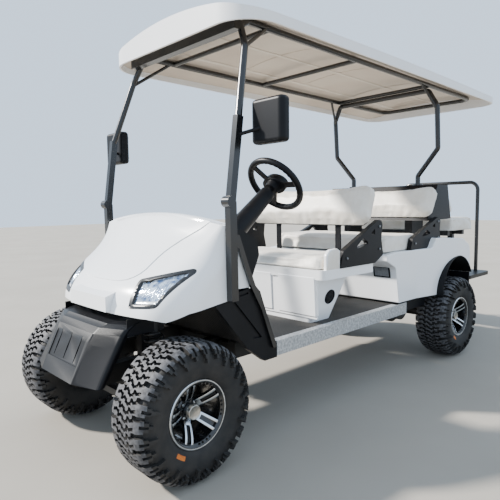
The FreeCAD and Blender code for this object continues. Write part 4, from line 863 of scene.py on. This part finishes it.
# Each pad is meshed evenly, rounded and shrunk, and then swells by air pressure up to its seams.
stuffed = {}
for name, (body, most, less, rest) in pads.items():
    pad = copied(name, name + "_pad", 0.0001)
    if name in pad_rear:
        choose(pad, "VERT", lambda c, n: c.y > pad_rear[name] + 0.0002)
        bpy.ops.mesh.delete(type="VERT")
        bpy.ops.mesh.select_all(action="DESELECT")
        bpy.ops.mesh.select_non_manifold()
        bpy.ops.mesh.fill()
    bpy.ops.object.mode_set(mode="OBJECT")
    even = pad.modifiers.new("even", "REMESH")
    even.mode = "VOXEL"
    even.voxel_size = voxel
    bpy.ops.object.modifier_apply(modifier=even.name)
    rounded = pad.modifiers.new("rounded", "SMOOTH")
    rounded.factor = 0.6
    rounded.iterations = 12
    bpy.ops.object.modifier_apply(modifier=rounded.name)
    base = Vector(rest).normalized()
    low = max(v.co.dot(base) for v in pad.data.vertices)
    held = pad.vertex_groups.new(name="held")
    for v in pad.data.vertices:
        gap = low - v.co.dot(base)
        if gap < held_depth:
            held.add([v.index], 1.0, "REPLACE")
        else:
            v.co -= v.normal * less * min(1.0, gap / shrink_over)
    stuffed[name] = (pad, [v.co.copy() for v in pad.data.vertices], most)
    cloth = pad.modifiers.new("stuffing", "CLOTH")
    cloth.settings.quality = 5
    cloth.settings.mass = 0.3
    cloth.settings.tension_stiffness = 12
    cloth.settings.compression_stiffness = 12
    cloth.settings.bending_stiffness = 1.5
    cloth.settings.use_pressure = True
    cloth.settings.uniform_pressure_force = 4.0
    cloth.settings.shrink_min = -0.02
    cloth.settings.vertex_group_mass = "held"
    cloth.settings.effector_weights.gravity = 0.0
    cloth.collision_settings.use_collision = False
    cloth.point_cache.frame_start = 1
    cloth.point_cache.frame_end = swell_steps
for step in range(1, swell_steps + 1):
    bpy.context.scene.frame_set(step)
for name, (pad, before, most) in stuffed.items():
    bpy.ops.object.select_all(action="DESELECT")
    pad.select_set(True)
    bpy.context.view_layer.objects.active = pad
    bpy.ops.object.modifier_apply(modifier="stuffing")
    for v, old in zip(pad.data.vertices, before):
        move = v.co - old
        if move.length > most:
            v.co = old + move * (most / move.length)
    calm = pad.modifiers.new("calm", "SMOOTH")
    calm.factor = 0.5
    calm.iterations = 9
    calm.vertex_group = "held"
    calm.invert_vertex_group = True
    bpy.ops.object.modifier_apply(modifier=calm.name)
    finer = pad.modifiers.new("finer", "SUBSURF")
    finer.levels = 1
    finer.render_levels = 1
    bpy.ops.object.modifier_apply(modifier=finer.name)
    pad.vertex_groups.clear()
    if name in leaning:
        tailor(pad, *leaning[name])
    done(pad, pads[name][0], vinyl, 60)
    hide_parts(name)
bpy.context.scene.frame_set(1)

# Side bolsters: a small foam block under vinyl closes the seat base beside the front cushion.
# It is screwed on from inside, and its top front corner is cut back.
bolster_place, bolster_size = (0.4880, -0.5525, 0.8135), (0.0275, 0.1165, 0.1150)
for side in (-1, 1):
    bolster = start("cube", "seat_bolster_" + hand[side], size=1, scale=bolster_size,
                    location=(side * bolster_place[0], bolster_place[1], bolster_place[2]))
    for point in bolster.data.vertices:
        if point.co.z > 0.82 and point.co.y < -0.56:
            point.co.y += 0.012
            point.co.z -= 0.010
    choose(bolster, "EDGE", lambda c, d: abs(d.x) > 0.005 and c.z > 0.8)
    bpy.ops.mesh.bevel(offset=0.030, segments=6)
    bpy.ops.object.mode_set(mode="OBJECT")
    soften(bolster, 0.008, 4, 40)
    done(bolster, "cart", vinyl, 60)

# Seat hinge eyes: two steel eyes with straps are screwed under the back edge of each lifting seat.
# The eyes turn on the hinge rod.
hinge_x = 0.150
eye_profile = [(-0.007, 0.0051), (-0.007, 0.0070), (0.007, 0.0070), (0.007, 0.0051)]
for body, y, z in (("front_seat_lid", -0.248, 0.7653), ("rear_seat_lid", 1.467, 0.8983)):
    for side in (-1, 1):
        x = side * hinge_x
        eye_ring = lathe("hinge_eye", eye_profile, 32, (x, y, z))
        eye_ring.data.materials.append(plated_steel)
        strap = start("cube", "hinge_strap", size=1, location=(x, y - 0.0195, z - 0.0040),
                      scale=(0.014, 0.027, 0.004))
        soften(strap, 0.001, 2)
        strap.data.materials.append(plated_steel)
        hinge = joined([strap, eye_ring])
        hinge.name = body + "_eye_" + hand[side]
        done(hinge, body, plated_steel)

# Restraint bolts: plated hexagon heads hold each moulded hip restraint to its seat base.
# Each has one at the front foot and two up the back edge.
# Row, foot (y, z) of the restraint and its height against the front one. The bolts are given from the foot.
restraints = (("front", -0.4947, 0.7573, 1.0), ("second", 0.287, 0.8003, 0.82))
bolt_x = 0.5085
bolt_places = ((0.060, 0.050), (0.395, 0.080), (0.392, 0.215))
for side in (-1, 1):
    for row, foot_y, foot_z, rise in restraints:
        heads = []
        for a, b in bolt_places:
            head = start("cylinder", "restraint_bolt", vertices=6, radius=0.0075, depth=0.006,
                         rotation=(0, math.pi / 2, 0),
                         location=(side * bolt_x, foot_y + a, foot_z + b * rise))
            soften(head, 0.001, 2)
            heads.append(head)
        bolts = joined(heads)
        bolts.name = "restraint_bolts_%s_%s" % (hand[side], row)
        done(bolts, "cart", plated_steel)

# Struts and rails: round and square steel tube, bent cold and welded, in gloss black powder coat.
# They carry the roof, and the grab bar stands on the footplate.

# Powder coat: deep black with soft edged highlights and a very fine orange peel.
powder_black, kit = finish("black_powder_coat", "#0C0D0F", 0.26, coat_weight=0.3, coat_roughness=0.15)
mottle(kit, "#0A0B0D", "#141517", 60)
grain(kit, 2.5, 0.06)
coat(powder_black, "front_struts", "roof_frame", "rear_struts", "grab_bar")

# Mirror glass: a silvered glass plate is clipped in the back face of each moulded mirror head.
# Its corners are round.
mirror_place, mirror_size = (0.631, -1.1435, 1.4565), (0.150, 0.004, 0.152)

# Silvered glass: a clean mirror with the faintest cloud.
mirror_glass, kit = finish("silvered_mirror_glass", "#DDE3E8", 0.03, metallic=1.0)
mottle(kit, "#D8DEE4", "#E4E9ED", 100)
for side in (-1, 1):
    glass = start("cube", "mirror_glass_" + hand[side], size=1,
                  location=(side * mirror_place[0], mirror_place[1], mirror_place[2]), scale=mirror_size)
    choose(glass, "EDGE", lambda c, d: abs(d.y) > 0.001)
    bpy.ops.mesh.bevel(offset=0.022, segments=6)
    done(glass, "cart", mirror_glass)

# Roof: a vacuum formed white plastic skin, with a beige inner lining glued into it.
# Both are screwed down on the roof rails.

# White roof sheet: less glossy than the body.
roof_white, kit = finish("white_roof_skin", "#EFF0F1", 0.28, ior=1.5)
mottle(kit, "#EAEBEC", "#F3F3F4", 400)
grain(kit, 10, 0.08)
coat(roof_white, "roof_shell")
# Lining sheet: matt beige with a light haircell grain.
roof_beige, kit = finish("beige_roof_lining", "#CDBFB0", 0.6, ior=1.5)
mottle(kit, "#C4B5A6", "#D5C9BB", 300)
grain(kit, 4, 0.3)
coat(roof_beige, "roof_liner")

# Roof ribs: three flat ribs are formed lengthwise in the lining. They are coloured a little lighter than the
# sheet, as a painted highlight along them. They stiffen it, and stand only a few millimetres off it.
rib_w, rib_l, rib_mid_y = 0.022, 2.500, 0.190
rib_t, rib_below = 0.005, 1.700

# Rib lining: the same beige, made paler as a painted highlight along the ribs.
rib_painted_highlight, kit = finish("lining_rib_painted_highlight", "#D9CFC2", 0.6, ior=1.5)
mottle(kit, "#CFC4B6", "#E1D8CC", 200)
grain(kit, 4, 0.3)
for name, x in (("rib_right", -0.300), ("rib_middle", 0.0), ("rib_left", 0.300)):
    rib = start("grid", name, x_subdivisions=2, y_subdivisions=60, size=1)
    for point in rib.data.vertices:
        point.co = (x + rib_w * point.co.x, rib_mid_y + rib_l * point.co.y, rib_below)
    pressed_on(rib, "roof_liner", (0, 0, 1), rib_t / 2)
    thickened(rib, rib_t)
    done(rib, "cart", rib_painted_highlight)
